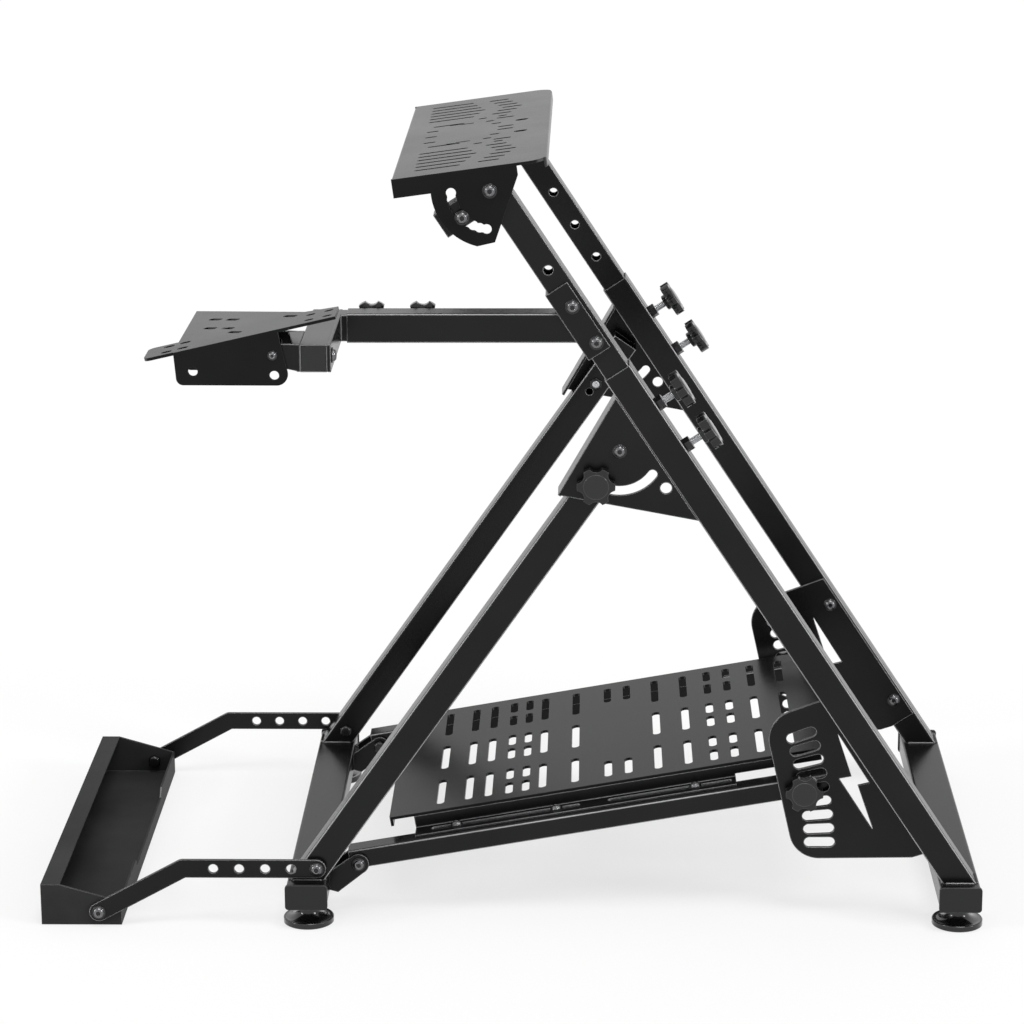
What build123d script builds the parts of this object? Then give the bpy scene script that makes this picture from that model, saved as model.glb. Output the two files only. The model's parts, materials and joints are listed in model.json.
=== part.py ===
"""Folding racing wheel stand: two leaning side frames on two foot beams, with a wheel plate on
telescoping tubes, a slotted pedal plate, a shifter arm and a chair stop.

Millimetres, +Z up. +X is the front, where the pedals rise, and the driver sits at -X.
The right side is -Y. The origin is on the floor, below the middle of the whole stand.
"""
import os
from math import atan2, cos, degrees, hypot, radians, sin, sqrt, tan

from build123d import *

os.makedirs("parts", exist_ok=True)

# Square tubes
tube_size = 30.0
tube_wall = 1.2
tube_corner = 2.5
telescope_clearance = 0.3
arm_size = 30.0

# Foot beams and levelling feet
beam_width = 42.0
beam_height = 25.0
beam_wall = 1.5
beam_overhang = 12.0
cap_lip = 3.0
cap_margin = 1.2
cap_plug = 12.0
foot_height = 25.0
foot_radius = 26.5
foot_rim = 7.0
foot_hub_radius = 11.8
foot_hub_height = 18.0
foot_stem_radius = 4.0
foot_stem_engagement = 14.0
half_spread = 340.5
frame_centre_spacing = 442.0

# Main tubes and the telescoping tubes in them
main_lean = 33.3
main_length = 652.5
mast_inside = 240.5
mast_showing = 234.9
adjust_hole_radius = 4.75
adjust_hole_pitch = 43.8
adjust_hole_count = 3
hidden_hole_count = 2

# Sheet metal
plate_thickness = 3.0
fit_gap = 0.3

# Bolts
bolt_radius = 4.0
bolt_clearance = 0.3
bolt_head_radius = 7.5
bolt_head_height = 4.5
nut_radius = 7.5
nut_height = 7.0
slot_clearance = 0.85

# Star knobs
knob_radius = 19.5
knob_lobe_radius = 4.5
knob_lobes = 6
knob_head_height = 11.0
knob_boss_radius = 9.0
knob_boss_height = 5.0
height_stud_length = 12.0
height_knob_below_top = 52.0
height_knob_pitch = 51.6

# Fold gussets, with the pivot of the support frame
pivot_below_top = 68.8
pivot_offset = 42.0
fold_clamp_radius = 41.2
fold_slot_sweep = 89.0
support_top_margin = 17.0
gusset_above_pivot = 48.3
gusset_below_pivot = 104.7
gusset_rear_below_pivot = 4.2
gusset_reach = 119.2
gusset_depth = 33.0
gusset_hole_radius = 5.8
gusset_hole_distance = 60.9
gusset_hole_turn = 85.7

# Pedal frame
hinge_ahead = 52.0
hinge_above_beam = 6.5
pedal_tilt = 9.9
pedal_tube_width = 25.0
pedal_tube_height = 21.0
pedal_tube_wall = 1.5
pedal_tube_rise = 4.2
pedal_tube_behind = 9.0
pedal_clamp_short_of_spread = 206.2
pedal_tube_past_clamp = 30.7
clevis_ear_radius = 11.0
pedal_plate_start = 37.0
pedal_plate_length = 483.0
pedal_plate_width = 331.0
pedal_plate_lift = 14.9
pedal_plate_lip = 8.0
rail_start = 63.0
rail_length = 436.0
rail_flange_length = 343.5
rail_end_height = 10.0
rail_flange_width = 24.0
rail_thickness = 2.0
pedal_slot_width = 8.4
long_slot = 74.0
short_slot = 33.0
middle_slot = 48.0
slot_row_spacing = 110.5
short_slot_spacing = 44.6
long_columns = (54.2, 84.7, 106.1, 164.6, 200.0, 290.1, 322.6, 400.1, 432.1)
pair_columns = (128.4, 146.4, 350.1, 372.3)
middle_columns = (236.0, 258.0)

# Side plates with the slots that set the pedal tilt: the rear edge and the cut-out are measured
# back from the main tube's foot and up from the beam
slot_centre_ahead = 52.9
slot_centre_above_beam = 10.0
slot_past_clamp = 10.6875
side_slot_length = 32.0
side_slot_height = 11.0
side_slot_count = 9
side_slot_pitch = 1.78
side_slot_turn = 2.42
clamped_slot = 4
side_plate_rear = (175.6, 39.4)
side_plate_rear_lean = 12.66
side_plate_top_angle = 20.5
side_plate_low_angle = 0.75
side_plate_corner = 32.0
side_plate_inset = 2.5
side_plate_foot = 37.0
clamp_spacer_radius = 11.0
bolt_cut_centre = (110.5, 102.0)
bolt_cut_outline = ((-17.5, 52.5), (16.5, -1.5), (4.5, -4.5), (21.5, -54.0), (-15.0, 3.0), (-2.0, 5.5))

# Chair stop: two bent flat bars and a tray
bar_width = 20.0
bar_thickness = 3.0
bar_pivot_ahead = 10.5
bar_pivot_above_beam = 15.0
bar_straight = 140.0
bar_incline = 102.4
bar_drop = 28.7
bar_hole_radius = 5.0
bar_hole_pitch = 27.2
bar_hole_first = 26.5
bar_hole_count = 4
tray_length = 84.5
tray_bolt_from_front = 23.5
tray_bolt_above_floor = 15.0
tray_back_height = 44.5
tray_front_height = 25.7
tray_front_dip = 10.0
tray_dip_half_width = 105.0
tray_flange = 20.0
tray_sheet = 2.0

# Wheel plate with its tilt sectors, measured from the rear edge of the plate's top
wheel_tilt = 7.7
wheel_plate_length = 155.0
wheel_pivot_from_rear = 95.2
wheel_pivot_below = 24.3
wheel_pivot_above_main = 224.0
wheel_pivot_behind = 4.0
wheel_corner = 20.0
wheel_flange_depth = 19.0
wheel_flange_length = 125.0
wheel_front_lip = 10.0
sector_start = 37.0
sector_radius = 57.0
sector_low = 76.0
sector_low_behind = 20.0
wheel_clamp_radius = 38.4
wheel_slot_first = 183.0
wheel_slot_steps = 8
wheel_slot_step_angle = 10.27
wheel_slot_radius = 5.0
tilt_stub_length = 51.5
wheel_slot_width = 5.0
vent_row_pitch = 20.0
vent_first_row = 104.0
vent_start = 21.5
vent_lengths = (50.5, 56.0, 61.0, 56.0, 51.5, 46.5)
chevron_first_row = 85.0
chevron_pitch = 19.2
chevron_starts = (98.0, 90.5, 96.2, 101.0, 96.0, 90.7, 85.2)
chevron_lengths = (10.0, 21.8, 21.8, 22.0, 21.8, 21.8, 22.0)
middle_slots = (
    (22.5, 13.2, 0.0), (22.5, 13.2, 36.0), (28.5, 34.0, 66.0), (100.0, 17.0, 9.5), (92.4, 10.6, 36.0),
    (85.5, 9.5, 57.5), (97.0, 19.0, 70.5), (76.8, 9.5, 82.5), (119.0, 12.0, 38.0),
)

# Shifter arm on the right telescoping tube
bracket_above_main = 26.5
bracket_length = 79.0
bracket_hole_inset = 11.2
arm_below_bracket = 9.5
arm_reach = 240.3
arm_knob_insets = (22.5, 74.2)
slide_inside_length = 175.0
slide_gap = 6.0
stub_side = 27.0
stub_near_end = 370.0
stub_bolt_inset = 15.0
stub_bolt_grip = 8.0
ear_spacing = 62.0
ear_end_radius = 11.0
ear_top_near = 7.0
ear_top_far = 16.0
shifter_pivot_behind_stub = 26.0
shifter_pivot_above_arm = 3.4
shifter_bolt_radius = 3.0
shifter_bolt_head_radius = 4.8
shifter_tilt = 12.9
shifter_pivot_from_rear = 92.7
shifter_pivot_below = 23.9
shifter_length = 160.8
shifter_strip_width = 52.0
shifter_far_reach = 191.0
shifter_far_end = 126.0
shifter_wing_reach = 57.0
shifter_end_notch = 6.0
shifter_rear_rake = 1.4
tongue_length = 30.0
tongue_width = 45.0
tongue_overlap = 6.0
tongue_inset = 2.0
tongue_corner = 7.0
shifter_flange_end = 103.0
shifter_flange_shallow = 31.8
shifter_flange_deep = 56.8
shifter_flange_rake = 4.5
shifter_flange_rear_corner = 7.0
shifter_flange_front_corner = 11.0
shifter_hole_radius = 4.6
shifter_slot_width = 6.0
shifter_slot_length = 20.0
shifter_slots = ((29.0, 122.0), (49.0, 101.0), (28.0, 82.0), (48.0, 62.0), (58.0, 34.0), (112.0, 52.0))
shifter_end_holes = ((134.0, 12.0), (134.0, 36.0), (152.0, 12.0), (152.0, 36.0))
tongue_slots = ((-8.0, 12.0), (-8.0, 36.0), (8.0, 14.0), (8.0, 38.0))
shifter_flange_holes = ((14.0, -22.2), (89.7, -43.5))

# Sizes worked out from the ones above
beam_top = foot_height + beam_height
tube_plane = frame_centre_spacing / 2
tube_out = tube_plane + tube_size / 2
tube_in = tube_plane - tube_size / 2
inner_size = tube_size - 2 * tube_wall - 2 * telescope_clearance
beam_length = 2 * (tube_out + beam_overhang)
gusset_face = tube_out - plate_thickness
support_plane = gusset_face - fit_gap - tube_size / 2
support_out = support_plane + tube_size / 2
support_in = support_plane - tube_size / 2
bolt_hole = bolt_radius + bolt_clearance
shifter_bolt_hole = shifter_bolt_radius + bolt_clearance
inner_bottom = main_length - mast_inside
inner_top = main_length + mast_showing
bracket_bottom = main_length + bracket_above_main
bracket_top = bracket_bottom + bracket_length
adjust_hole_first = bracket_bottom + bracket_hole_inset
height_knob_upper = main_length - height_knob_below_top
pivot_along = main_length - pivot_below_top


def main_point(along, behind):
    """Place beside a main tube: so far up it from the foot beam, and so far behind its axis."""
    a = radians(main_lean)
    return (half_spread - along * sin(a) - behind * cos(a), beam_top + along * cos(a) - behind * sin(a))


pivot_x, pivot_z = main_point(pivot_along, pivot_offset)
support_reach = hypot(pivot_x + half_spread, pivot_z - beam_top)
support_angle = degrees(atan2(pivot_z - beam_top, pivot_x + half_spread))
main_angle = 90 + main_lean
hinge_x = -half_spread + hinge_ahead
hinge_z = beam_top + hinge_above_beam
pedal_clamp_along = 2 * half_spread - pedal_clamp_short_of_spread
slot_centre_x = -half_spread + slot_centre_ahead
slot_centre_z = beam_top + slot_centre_above_beam
ear_out = support_in
pedal_tube_out = ear_out - plate_thickness - fit_gap
pedal_tube_plane = pedal_tube_out - pedal_tube_width / 2
side_plate_in = tube_in - plate_thickness
plate_top = pedal_tube_rise + pedal_tube_height / 2 + pedal_plate_lift + plate_thickness
bar_x = -half_spread + bar_pivot_ahead
bar_z = beam_top + bar_pivot_above_beam
bar_in = tube_out
bend_x = bar_x - bar_straight
tray_bolt_x = bend_x - bar_incline * cos(radians(bar_drop))
tray_bolt_z = bar_z - bar_incline * sin(radians(bar_drop))
tray_front_x = tray_bolt_x + tray_bolt_from_front
tray_back_x = tray_front_x - tray_length
tray_floor_z = tray_bolt_z - tray_bolt_above_floor
wheel_x, wheel_z = main_point(main_length + wheel_pivot_above_main, wheel_pivot_behind)
sector_in = tube_plane + inner_size / 2 + fit_gap
sector_out = sector_in + plate_thickness
arm_plane = tube_plane
bracket_face = inner_size / 2 + plate_thickness
bracket_middle_x, bracket_middle_z = main_point(bracket_bottom + bracket_length / 2, 0)
arm_height = bracket_middle_z - arm_below_bracket
arm_end = bracket_middle_x + arm_below_bracket * tan(radians(main_lean)) - arm_reach
slide_end = arm_end - slide_gap
stub_face = slide_end - plate_thickness - stub_side
shifter_pivot_x = stub_face - shifter_pivot_behind_stub
shifter_pivot_z = arm_height + shifter_pivot_above_arm
flange_out = stub_near_end + 2
flange_in = flange_out - plate_thickness

# The origin is below the middle of the stand's outline
origin_x = (half_spread + foot_radius + tray_back_x) / 2
knob_out = tube_out + fit_gap + knob_boss_height + knob_head_height
origin_y = (knob_out - flange_out - bolt_head_height) / 2


def turned(x, y, z, angle):
    """Place whose X axis points up from the front by an angle, in the stand's side view."""
    return Location((x, y, z), (0, -angle, 0))


def square_tube(length, width, height, wall, corner):
    """Hollow tube along +X, centred on its axis."""
    outside = RectangleRounded(width, height, corner)
    bore = RectangleRounded(width - 2 * wall, height - 2 * wall, max(corner - wall, 0.4))
    return extrude(Plane.YZ * (outside - bore), length)


def upright_sheet(outline, y_low, thickness):
    """Sheet in the side view, from y_low towards +Y."""
    return Pos(0, y_low + thickness, 0) * extrude(Plane.XZ * outline, thickness)


def side_sheet(outline, side, inside, thickness):
    """Sheet on one side of the stand, its inner face so far from the middle plane."""
    return upright_sheet(outline, inside if side > 0 else -inside - thickness, thickness)


def rod_y(x, z, y_from, y_to, radius):
    """Round rod across the stand."""
    length = abs(y_to - y_from)
    return Pos(x, (y_from + y_to) / 2, z) * Rot(90, 0, 0) * Cylinder(radius, length)


def side_rod(x, z, side, inside, outside, radius):
    """Round rod across one side of the stand, between two distances from the middle plane."""
    return rod_y(x, z, side * inside, side * outside, radius)


def button_head(radius, height):
    """Rounded bolt head on the XY plane, rising along +Z."""
    head = Cylinder(radius, height, align=(Align.CENTER, Align.CENTER, Align.MIN))
    return fillet(head.edges().sort_by(Axis.Z)[-1], height * 0.55)


def side_bolt(x, z, side, inside, face, shank=bolt_radius, head=bolt_head_radius):
    """Bolt across one side: head on the outer face, shank to the inner end with a nut there."""
    outward = Pos(x, side * face, z) * Rot(-90 * side, 0, 0)
    bolt = outward * button_head(head, bolt_head_height * head / bolt_head_radius)
    bolt += side_rod(x, z, side, inside, face, shank)
    nut = extrude(RegularPolygon(nut_radius * head / bolt_head_radius, 6), nut_height * 0.7)
    bolt += Pos(x, side * inside, z) * Rot(90 * side, 0, 0) * nut
    return bolt


def star_outline():
    outline = Circle(knob_radius - knob_lobe_radius)
    for step in range(knob_lobes):
        turn = 360 * step / knob_lobes
        outline += Rot(0, 0, turn) * Pos(knob_radius - knob_lobe_radius, 0) * Circle(knob_lobe_radius)
    return outline


def star_knob(stud_back, stud_ahead):
    """Knob along +Z with its seat at zero: stud below the seat, bare stud, boss and star head."""
    boss_base = stud_ahead
    star_base = boss_base + knob_boss_height
    knob = Pos(0, 0, (stud_ahead - stud_back) / 2) * Cylinder(bolt_radius, stud_back + stud_ahead + 2)
    knob += Pos(0, 0, boss_base + knob_boss_height / 2) * Cylinder(knob_boss_radius, knob_boss_height)
    knob += Pos(0, 0, star_base) * extrude(star_outline(), knob_head_height)
    return knob


def turned_point(x, z, angle, along, above):
    """A point given along and above a line that rises from the front at an angle."""
    a = radians(angle)
    return (x + along * cos(a) - above * sin(a), z + along * sin(a) + above * cos(a))


def polar(x, z, angle, distance):
    return turned_point(x, z, angle, distance, 0)


def arc_slot(x, z, distance, start, sweep, radius):
    """Curved slot about a centre, in the side view."""
    path = CenterArc((x, z), distance, start, sweep)
    return SlotArc(path, 2 * radius)


def side_name(side):
    return "left" if side > 0 else "right"


def both(maker):
    """The same piece on the right and on the left, as one node."""
    return Compound([maker(-1).solid(), maker(1).solid()])


# Main frame

def main_tube(side):
    place = turned(half_spread, side * tube_plane, beam_top, main_angle)
    spare = tube_size
    tube = place * Pos(-spare, 0, 0) * square_tube(
        main_length + spare, tube_size, tube_size, tube_wall, tube_corner)
    tube -= Pos(half_spread, side * tube_plane, beam_top - spare) * Box(4 * spare, 2 * spare, 2 * spare)
    for step in range(2):
        along = height_knob_upper - step * height_knob_pitch
        tube -= place * Pos(along, 0, -tube_size / 2) * Cylinder(bolt_hole, 4 * tube_wall)
    return tube


def foot_beam(x):
    spine = square_tube(beam_length, beam_width, beam_height, beam_wall, tube_corner)
    beam = Pos(x, -beam_length / 2, beam_top - beam_height / 2) * Rot(0, 0, 90) * spine
    for side in (-1, 1):
        hole = Cylinder(foot_stem_radius + bolt_clearance, 4 * beam_wall)
        beam -= Pos(x, side * tube_plane, foot_height) * hole
    return beam


def beam_cap(x, side):
    """Plastic end cap: a lip on the tube's end and a plug inside it."""
    lip = Box(beam_width + 2 * cap_margin, cap_lip, beam_height + 2 * cap_margin)
    lip = fillet(lip.edges().filter_by(Axis.Y), tube_corner + cap_margin)
    plug_size = 2 * (beam_wall + telescope_clearance)
    plug = Box(beam_width - plug_size, cap_plug, beam_height - plug_size)
    middle = beam_top - beam_height / 2
    cap = Pos(x, side * (beam_length / 2 + cap_lip / 2), middle) * lip
    cap += Pos(x, side * (beam_length / 2 - cap_plug / 2), middle) * plug
    return cap


def levelling_foot(x, side):
    """Round plastic foot with a flared hub and a threaded stem into the beam."""
    hub_top = foot_hub_height
    profile = Polyline((0, 0), (foot_radius, 0), (foot_radius, foot_rim))
    flare = ThreePointArc(
        (foot_radius, foot_rim),
        (foot_hub_radius + (foot_radius - foot_hub_radius) * 0.22, foot_rim + (hub_top - foot_rim) * 0.25),
        (foot_hub_radius, hub_top))
    close = Polyline((foot_hub_radius, hub_top), (0, hub_top), (0, 0))
    body = revolve(Plane.XZ * make_face(profile + flare + close), Axis.Z)
    stem_length = foot_height - hub_top + foot_stem_engagement
    stem = Pos(0, 0, hub_top + stem_length / 2) * Cylinder(foot_stem_radius, stem_length)
    return Pos(x, side * tube_plane, 0) * (body + stem)


def at_both_feet(maker, x):
    return both(lambda side: maker(x, side))


def gusset(side):
    """Folded gusset: an outer plate with the fold slot, and a web along its rear edge."""
    top = main_point(pivot_along + gusset_above_pivot, tube_size / 2)
    low = main_point(pivot_along - gusset_below_pivot, tube_size / 2)
    rear = main_point(pivot_along - gusset_rear_below_pivot, gusset_reach)
    outline = make_face(Polyline(top, low, rear, top))
    outline -= arc_slot(pivot_x, pivot_z, fold_clamp_radius, support_angle - 180,
                        fold_slot_sweep, bolt_radius + slot_clearance)
    hole = polar(pivot_x, pivot_z, support_angle - 180 + gusset_hole_turn, gusset_hole_distance)
    outline -= Pos(*hole) * Circle(gusset_hole_radius)
    outline -= Pos(pivot_x, pivot_z) * Circle(bolt_hole)
    plate = side_sheet(outline, side, gusset_face, plate_thickness)
    run = hypot(top[0] - rear[0], top[1] - rear[1])
    web_angle = degrees(atan2(top[1] - rear[1], top[0] - rear[0]))
    middle = side * (tube_out - gusset_depth / 2)
    web = turned(rear[0], middle, rear[1], web_angle) * Pos(run / 2, 0, -plate_thickness / 2) * Box(
        run, gusset_depth, plate_thickness)
    on_tube = turned(half_spread, middle, beam_top, main_angle)
    beyond = on_tube * Pos(pivot_along + gusset_above_pivot, 0, -tube_size / 2) * Box(
        2 * tube_size, 2 * gusset_depth, 2 * tube_size)
    return plate + (web - beyond)


def clamp_place():
    """Centre of the pedal clamp's stud, on the pedal tube's axis."""
    return turned_point(hinge_x, hinge_z, pedal_tilt, pedal_clamp_along, pedal_tube_rise)


def tilt_slot(step):
    """One tilt slot; the clamped one lies at the clamp, and the others fan out from it."""
    x, z = clamp_place()
    clamp_angle = degrees(atan2(z - slot_centre_z, x - slot_centre_x))
    steps = step - clamped_slot
    reach = hypot(x - slot_centre_x, z - slot_centre_z) + slot_past_clamp
    place = polar(slot_centre_x, slot_centre_z, clamp_angle + steps * side_slot_pitch, reach)
    return Pos(*place) * Rot(0, 0, clamp_angle + steps * side_slot_turn) * SlotOverall(
        side_slot_length, side_slot_height)


def ray_meets(angle, point, lean):
    """Where a ray from the slots' centre meets a line that leans back from a point."""
    ahead = point[0] - slot_centre_x
    above = point[1] - slot_centre_z
    a = radians(angle)
    b = radians(lean)
    distance = (ahead * cos(b) + above * sin(b)) / (cos(a) * cos(b) + sin(a) * sin(b))
    return polar(slot_centre_x, slot_centre_z, angle, distance)


def side_plate(side):
    """Plate on the inner face of a main tube, with the pedal tilt slots and a zigzag cut-out."""
    inset = side_plate_inset - tube_size / 2
    rear = (half_spread - side_plate_rear[0], beam_top + side_plate_rear[1])
    high_rear = ray_meets(side_plate_top_angle, rear, side_plate_rear_lean)
    low_rear = ray_meets(side_plate_low_angle, rear, side_plate_rear_lean)
    high_front = ray_meets(side_plate_top_angle, main_point(0, inset), main_lean)
    foot_front = main_point(side_plate_foot, inset)
    foot_rear = main_point(side_plate_foot, tube_size / 2 + tube_wall)
    low_front = ray_meets(side_plate_low_angle, main_point(0, tube_size), main_lean)
    outline = make_face(Polyline(
        high_rear, high_front, foot_front, foot_rear, low_front, low_rear, high_rear))
    rear_corners = outline.vertices().sort_by(Axis.X)[:2]
    outline = fillet(rear_corners, side_plate_corner)
    for step in range(side_slot_count):
        outline -= tilt_slot(step)
    cut_x = half_spread - bolt_cut_centre[0]
    cut_z = beam_top + bolt_cut_centre[1]
    cut = [(cut_x + x, cut_z + z) for x, z in bolt_cut_outline]
    outline -= make_face(Polyline(*cut, cut[0]))
    return side_sheet(outline, side, side_plate_in, plate_thickness)


def height_knob_place(side, step):
    along = height_knob_upper - step * height_knob_pitch
    on_tube = turned(half_spread, side * tube_plane, beam_top, main_angle)
    return on_tube * Pos(along, 0, -tube_size / 2) * Rot(180, 0, 0)


def height_nuts():
    nuts = []
    for side in (-1, 1):
        for step in range(2):
            nut = extrude(RegularPolygon(nut_radius, 6) - Circle(bolt_hole), nut_height)
            nuts.append((height_knob_place(side, step) * nut).solid())
    return Compound(nuts)


def height_knobs():
    reach = tube_wall + telescope_clearance
    knobs = []
    for side in (-1, 1):
        for step in range(2):
            knob = star_knob(reach - 1.2, nut_height + height_stud_length)
            knobs.append((height_knob_place(side, step) * knob).solid())
    return Compound(knobs)


def fold_pivot_bolt(side):
    return side_bolt(pivot_x, pivot_z, side, support_in, tube_out)


def pedal_clamp_knob(side):
    """Knob left in its slot in the side plate, its stud ending just short of the pedal frame."""
    x, z = clamp_place()
    knob = star_knob(plate_thickness - 1.3, 0)
    return Pos(x, side * (tube_in + fit_gap), z) * Rot(-90 * side, 0, 0) * knob


# Support frame

def support_tube(side):
    place = turned(-half_spread, side * support_plane, beam_top, support_angle)
    spare = tube_size
    length = support_reach + support_top_margin
    tube = place * Pos(-spare, 0, 0) * square_tube(
        length + spare, tube_size, tube_size, tube_wall, tube_corner)
    tube -= Pos(-half_spread, side * support_plane, beam_top - spare) * Box(4 * spare, 2 * spare, 2 * spare)
    tube -= side_rod(pivot_x, pivot_z, side, support_in - 1, support_out + 1, bolt_hole)
    clamp_x, clamp_z = polar(pivot_x, pivot_z, support_angle + 180, fold_clamp_radius)
    tube -= side_rod(clamp_x, clamp_z, side, support_in - 1, support_out + 1, bolt_hole)
    tube -= side_rod(bar_x, bar_z, side, support_in - 1, support_out + 1, bolt_hole)
    return tube


def fold_clamp_knob(side):
    """Carriage bolt through the support tube and the gusset's slot, with a star knob outside."""
    x, z = polar(pivot_x, pivot_z, support_angle + 180, fold_clamp_radius)
    knob = star_knob(tube_out + fit_gap - support_in - 1, 0)
    bolt = Pos(x, side * (tube_out + fit_gap), z) * Rot(-90 * side, 0, 0) * knob
    head = button_head(bolt_head_radius, bolt_head_height)
    return bolt + Pos(x, side * support_in, z) * Rot(90 * side, 0, 0) * head


def hinge_clevis(side):
    """Two ears on the rear foot beam that hold a pedal tube between them."""
    base_x = -half_spread + beam_width / 2
    middle_z = beam_top - beam_height / 2
    ear = make_face(Polyline(
        (base_x, foot_height + tube_corner), (base_x, beam_top - tube_corner),
        turned_point(hinge_x, hinge_z, 50, 0, clevis_ear_radius),
        turned_point(hinge_x, hinge_z, 50, 0, -clevis_ear_radius),
        (base_x + plate_thickness * 3, foot_height), (base_x, foot_height + tube_corner)))
    ear += Pos(hinge_x, hinge_z) * Circle(clevis_ear_radius)
    ear -= Pos(hinge_x, hinge_z) * Circle(bolt_hole)
    outer = side_sheet(ear, side, ear_out - plate_thickness, plate_thickness)
    inner_face = pedal_tube_out - pedal_tube_width - fit_gap
    inner = side_sheet(ear, side, inner_face - plate_thickness, plate_thickness)
    width = ear_out - inner_face + plate_thickness
    back = Pos(base_x + plate_thickness / 2, side * (ear_out - width / 2), middle_z) * Box(
        plate_thickness, width, beam_height - 2 * tube_corner)
    return outer + inner + back


def hinge_bolt(side):
    inner_face = pedal_tube_out - pedal_tube_width - fit_gap - plate_thickness
    return side_bolt(hinge_x, hinge_z, side, inner_face, ear_out)


def bar_pivot_bolt(side):
    """Bolt through the support tube, with a spacer between the tube and the stop bar."""
    bolt = side_bolt(bar_x, bar_z, side, support_in, bar_in + bar_thickness + fit_gap)
    return bolt + side_rod(bar_x, bar_z, side, support_out, bar_in - fit_gap, bolt_head_radius)


# Pedal frame

def pedal_place(y=0.0):
    return turned(hinge_x, y, hinge_z, pedal_tilt)


def pedal_tube(side):
    length = pedal_tube_behind + pedal_clamp_along + pedal_tube_past_clamp
    tube = pedal_place(side * pedal_tube_plane) * Pos(-pedal_tube_behind, 0, pedal_tube_rise) * square_tube(
        length, pedal_tube_width, pedal_tube_height, pedal_tube_wall, tube_corner)
    tube -= side_rod(hinge_x, hinge_z, side, side_plate_in / 2, side_plate_in, bolt_hole)
    x, z = clamp_place()
    tube -= side_rod(x, z, side, pedal_tube_out - 2 * pedal_tube_wall, side_plate_in, bolt_hole)
    return tube


def clamp_spacer(side):
    """Threaded boss between the pedal tube and the side plate."""
    x, z = clamp_place()
    boss = side_rod(x, z, side, pedal_tube_out, side_plate_in - fit_gap, clamp_spacer_radius)
    return boss - side_rod(x, z, side, pedal_tube_out - 1, side_plate_in, bolt_hole)


def pedal_rail(side):
    """Angle under the plate's long edge, its flange bolted to the top of the pedal tube."""
    tube_top = pedal_tube_rise + pedal_tube_height / 2
    middle = side * (pedal_plate_width - rail_thickness) / 2
    wall = Pos(rail_start + rail_flange_length / 2, middle, tube_top + pedal_plate_lift / 2) * Box(
        rail_flange_length, rail_thickness, pedal_plate_lift)
    end = Pos(rail_start + rail_length / 2, middle, tube_top + pedal_plate_lift - rail_end_height / 2) * Box(
        rail_length, rail_thickness, rail_end_height)
    flange = Pos(rail_start + rail_flange_length / 2, middle + side * rail_flange_width / 2,
                 tube_top + rail_thickness / 2) * Box(
        rail_flange_length, rail_flange_width + rail_thickness, rail_thickness)
    return pedal_place() * (wall + end + flange)


def pedal_slots():
    """Cross slots of the pedal plate, as one sketch seen from above."""
    slots = Sketch()
    for row in (-1, 0, 1):
        for u in long_columns:
            slots += Pos(u, row * slot_row_spacing) * Rot(0, 0, 90) * SlotOverall(long_slot, pedal_slot_width)
        for u in pair_columns:
            for offset in (-short_slot_spacing / 2, short_slot_spacing / 2):
                slots += Pos(u, row * slot_row_spacing + offset) * Rot(0, 0, 90) * SlotOverall(
                    short_slot, pedal_slot_width)
    for u in middle_columns:
        for row in (-1, 1):
            slots += Pos(u, row * (slot_row_spacing + middle_slot / 4)) * Rot(0, 0, 90) * SlotOverall(
                middle_slot, pedal_slot_width)
    return slots


def pedal_plate():
    """Slotted plate with a turned-down rear lip."""
    outline = Pos(pedal_plate_length / 2, 0) * RectangleRounded(
        pedal_plate_length, pedal_plate_width, tube_corner)
    plate = extrude(outline - pedal_slots(), plate_thickness)
    lip = Pos(plate_thickness / 2, 0, plate_thickness / 2 - pedal_plate_lip / 2) * Box(
        plate_thickness, pedal_plate_width - 2 * tube_corner, pedal_plate_lip + plate_thickness)
    return pedal_place() * Pos(pedal_plate_start, 0, plate_top - plate_thickness) * (plate + lip)


# Chair stop

def stop_bar(side):
    """Bent flat bar with a row of holes, from the support tube's foot to the tray."""
    straight = Pos((bar_x + bend_x) / 2, bar_z) * Rectangle(bar_straight, bar_width)
    middle = polar(bend_x, bar_z, 180 + bar_drop, bar_incline / 2)
    incline = Pos(*middle) * Rot(0, 0, bar_drop) * Rectangle(bar_incline, bar_width)
    outline = straight + incline
    for x, z in ((bar_x, bar_z), (bend_x, bar_z), (tray_bolt_x, tray_bolt_z)):
        outline += Pos(x, z) * Circle(bar_width / 2)
    for step in range(bar_hole_count):
        outline -= Pos(bar_x - bar_hole_first - step * bar_hole_pitch, bar_z) * Circle(bar_hole_radius)
    for x, z in ((bar_x, bar_z), (tray_bolt_x, tray_bolt_z)):
        outline -= Pos(x, z) * Circle(bolt_hole)
    return side_sheet(outline, side, bar_in, bar_thickness)


def tray_end(side):
    """End plate of the tray, sloping down to the front."""
    top = tray_floor_z + tray_back_height
    outline = make_face(Polyline(
        (tray_back_x, tray_floor_z), (tray_back_x, top), (tray_back_x + tray_flange, top),
        (tray_front_x, tray_floor_z + tray_front_height), (tray_front_x, tray_floor_z),
        (tray_back_x, tray_floor_z)))
    outline -= Pos(tray_bolt_x, tray_bolt_z) * Circle(bolt_hole)
    return side_sheet(outline, side, bar_in - tray_sheet, tray_sheet)


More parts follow.
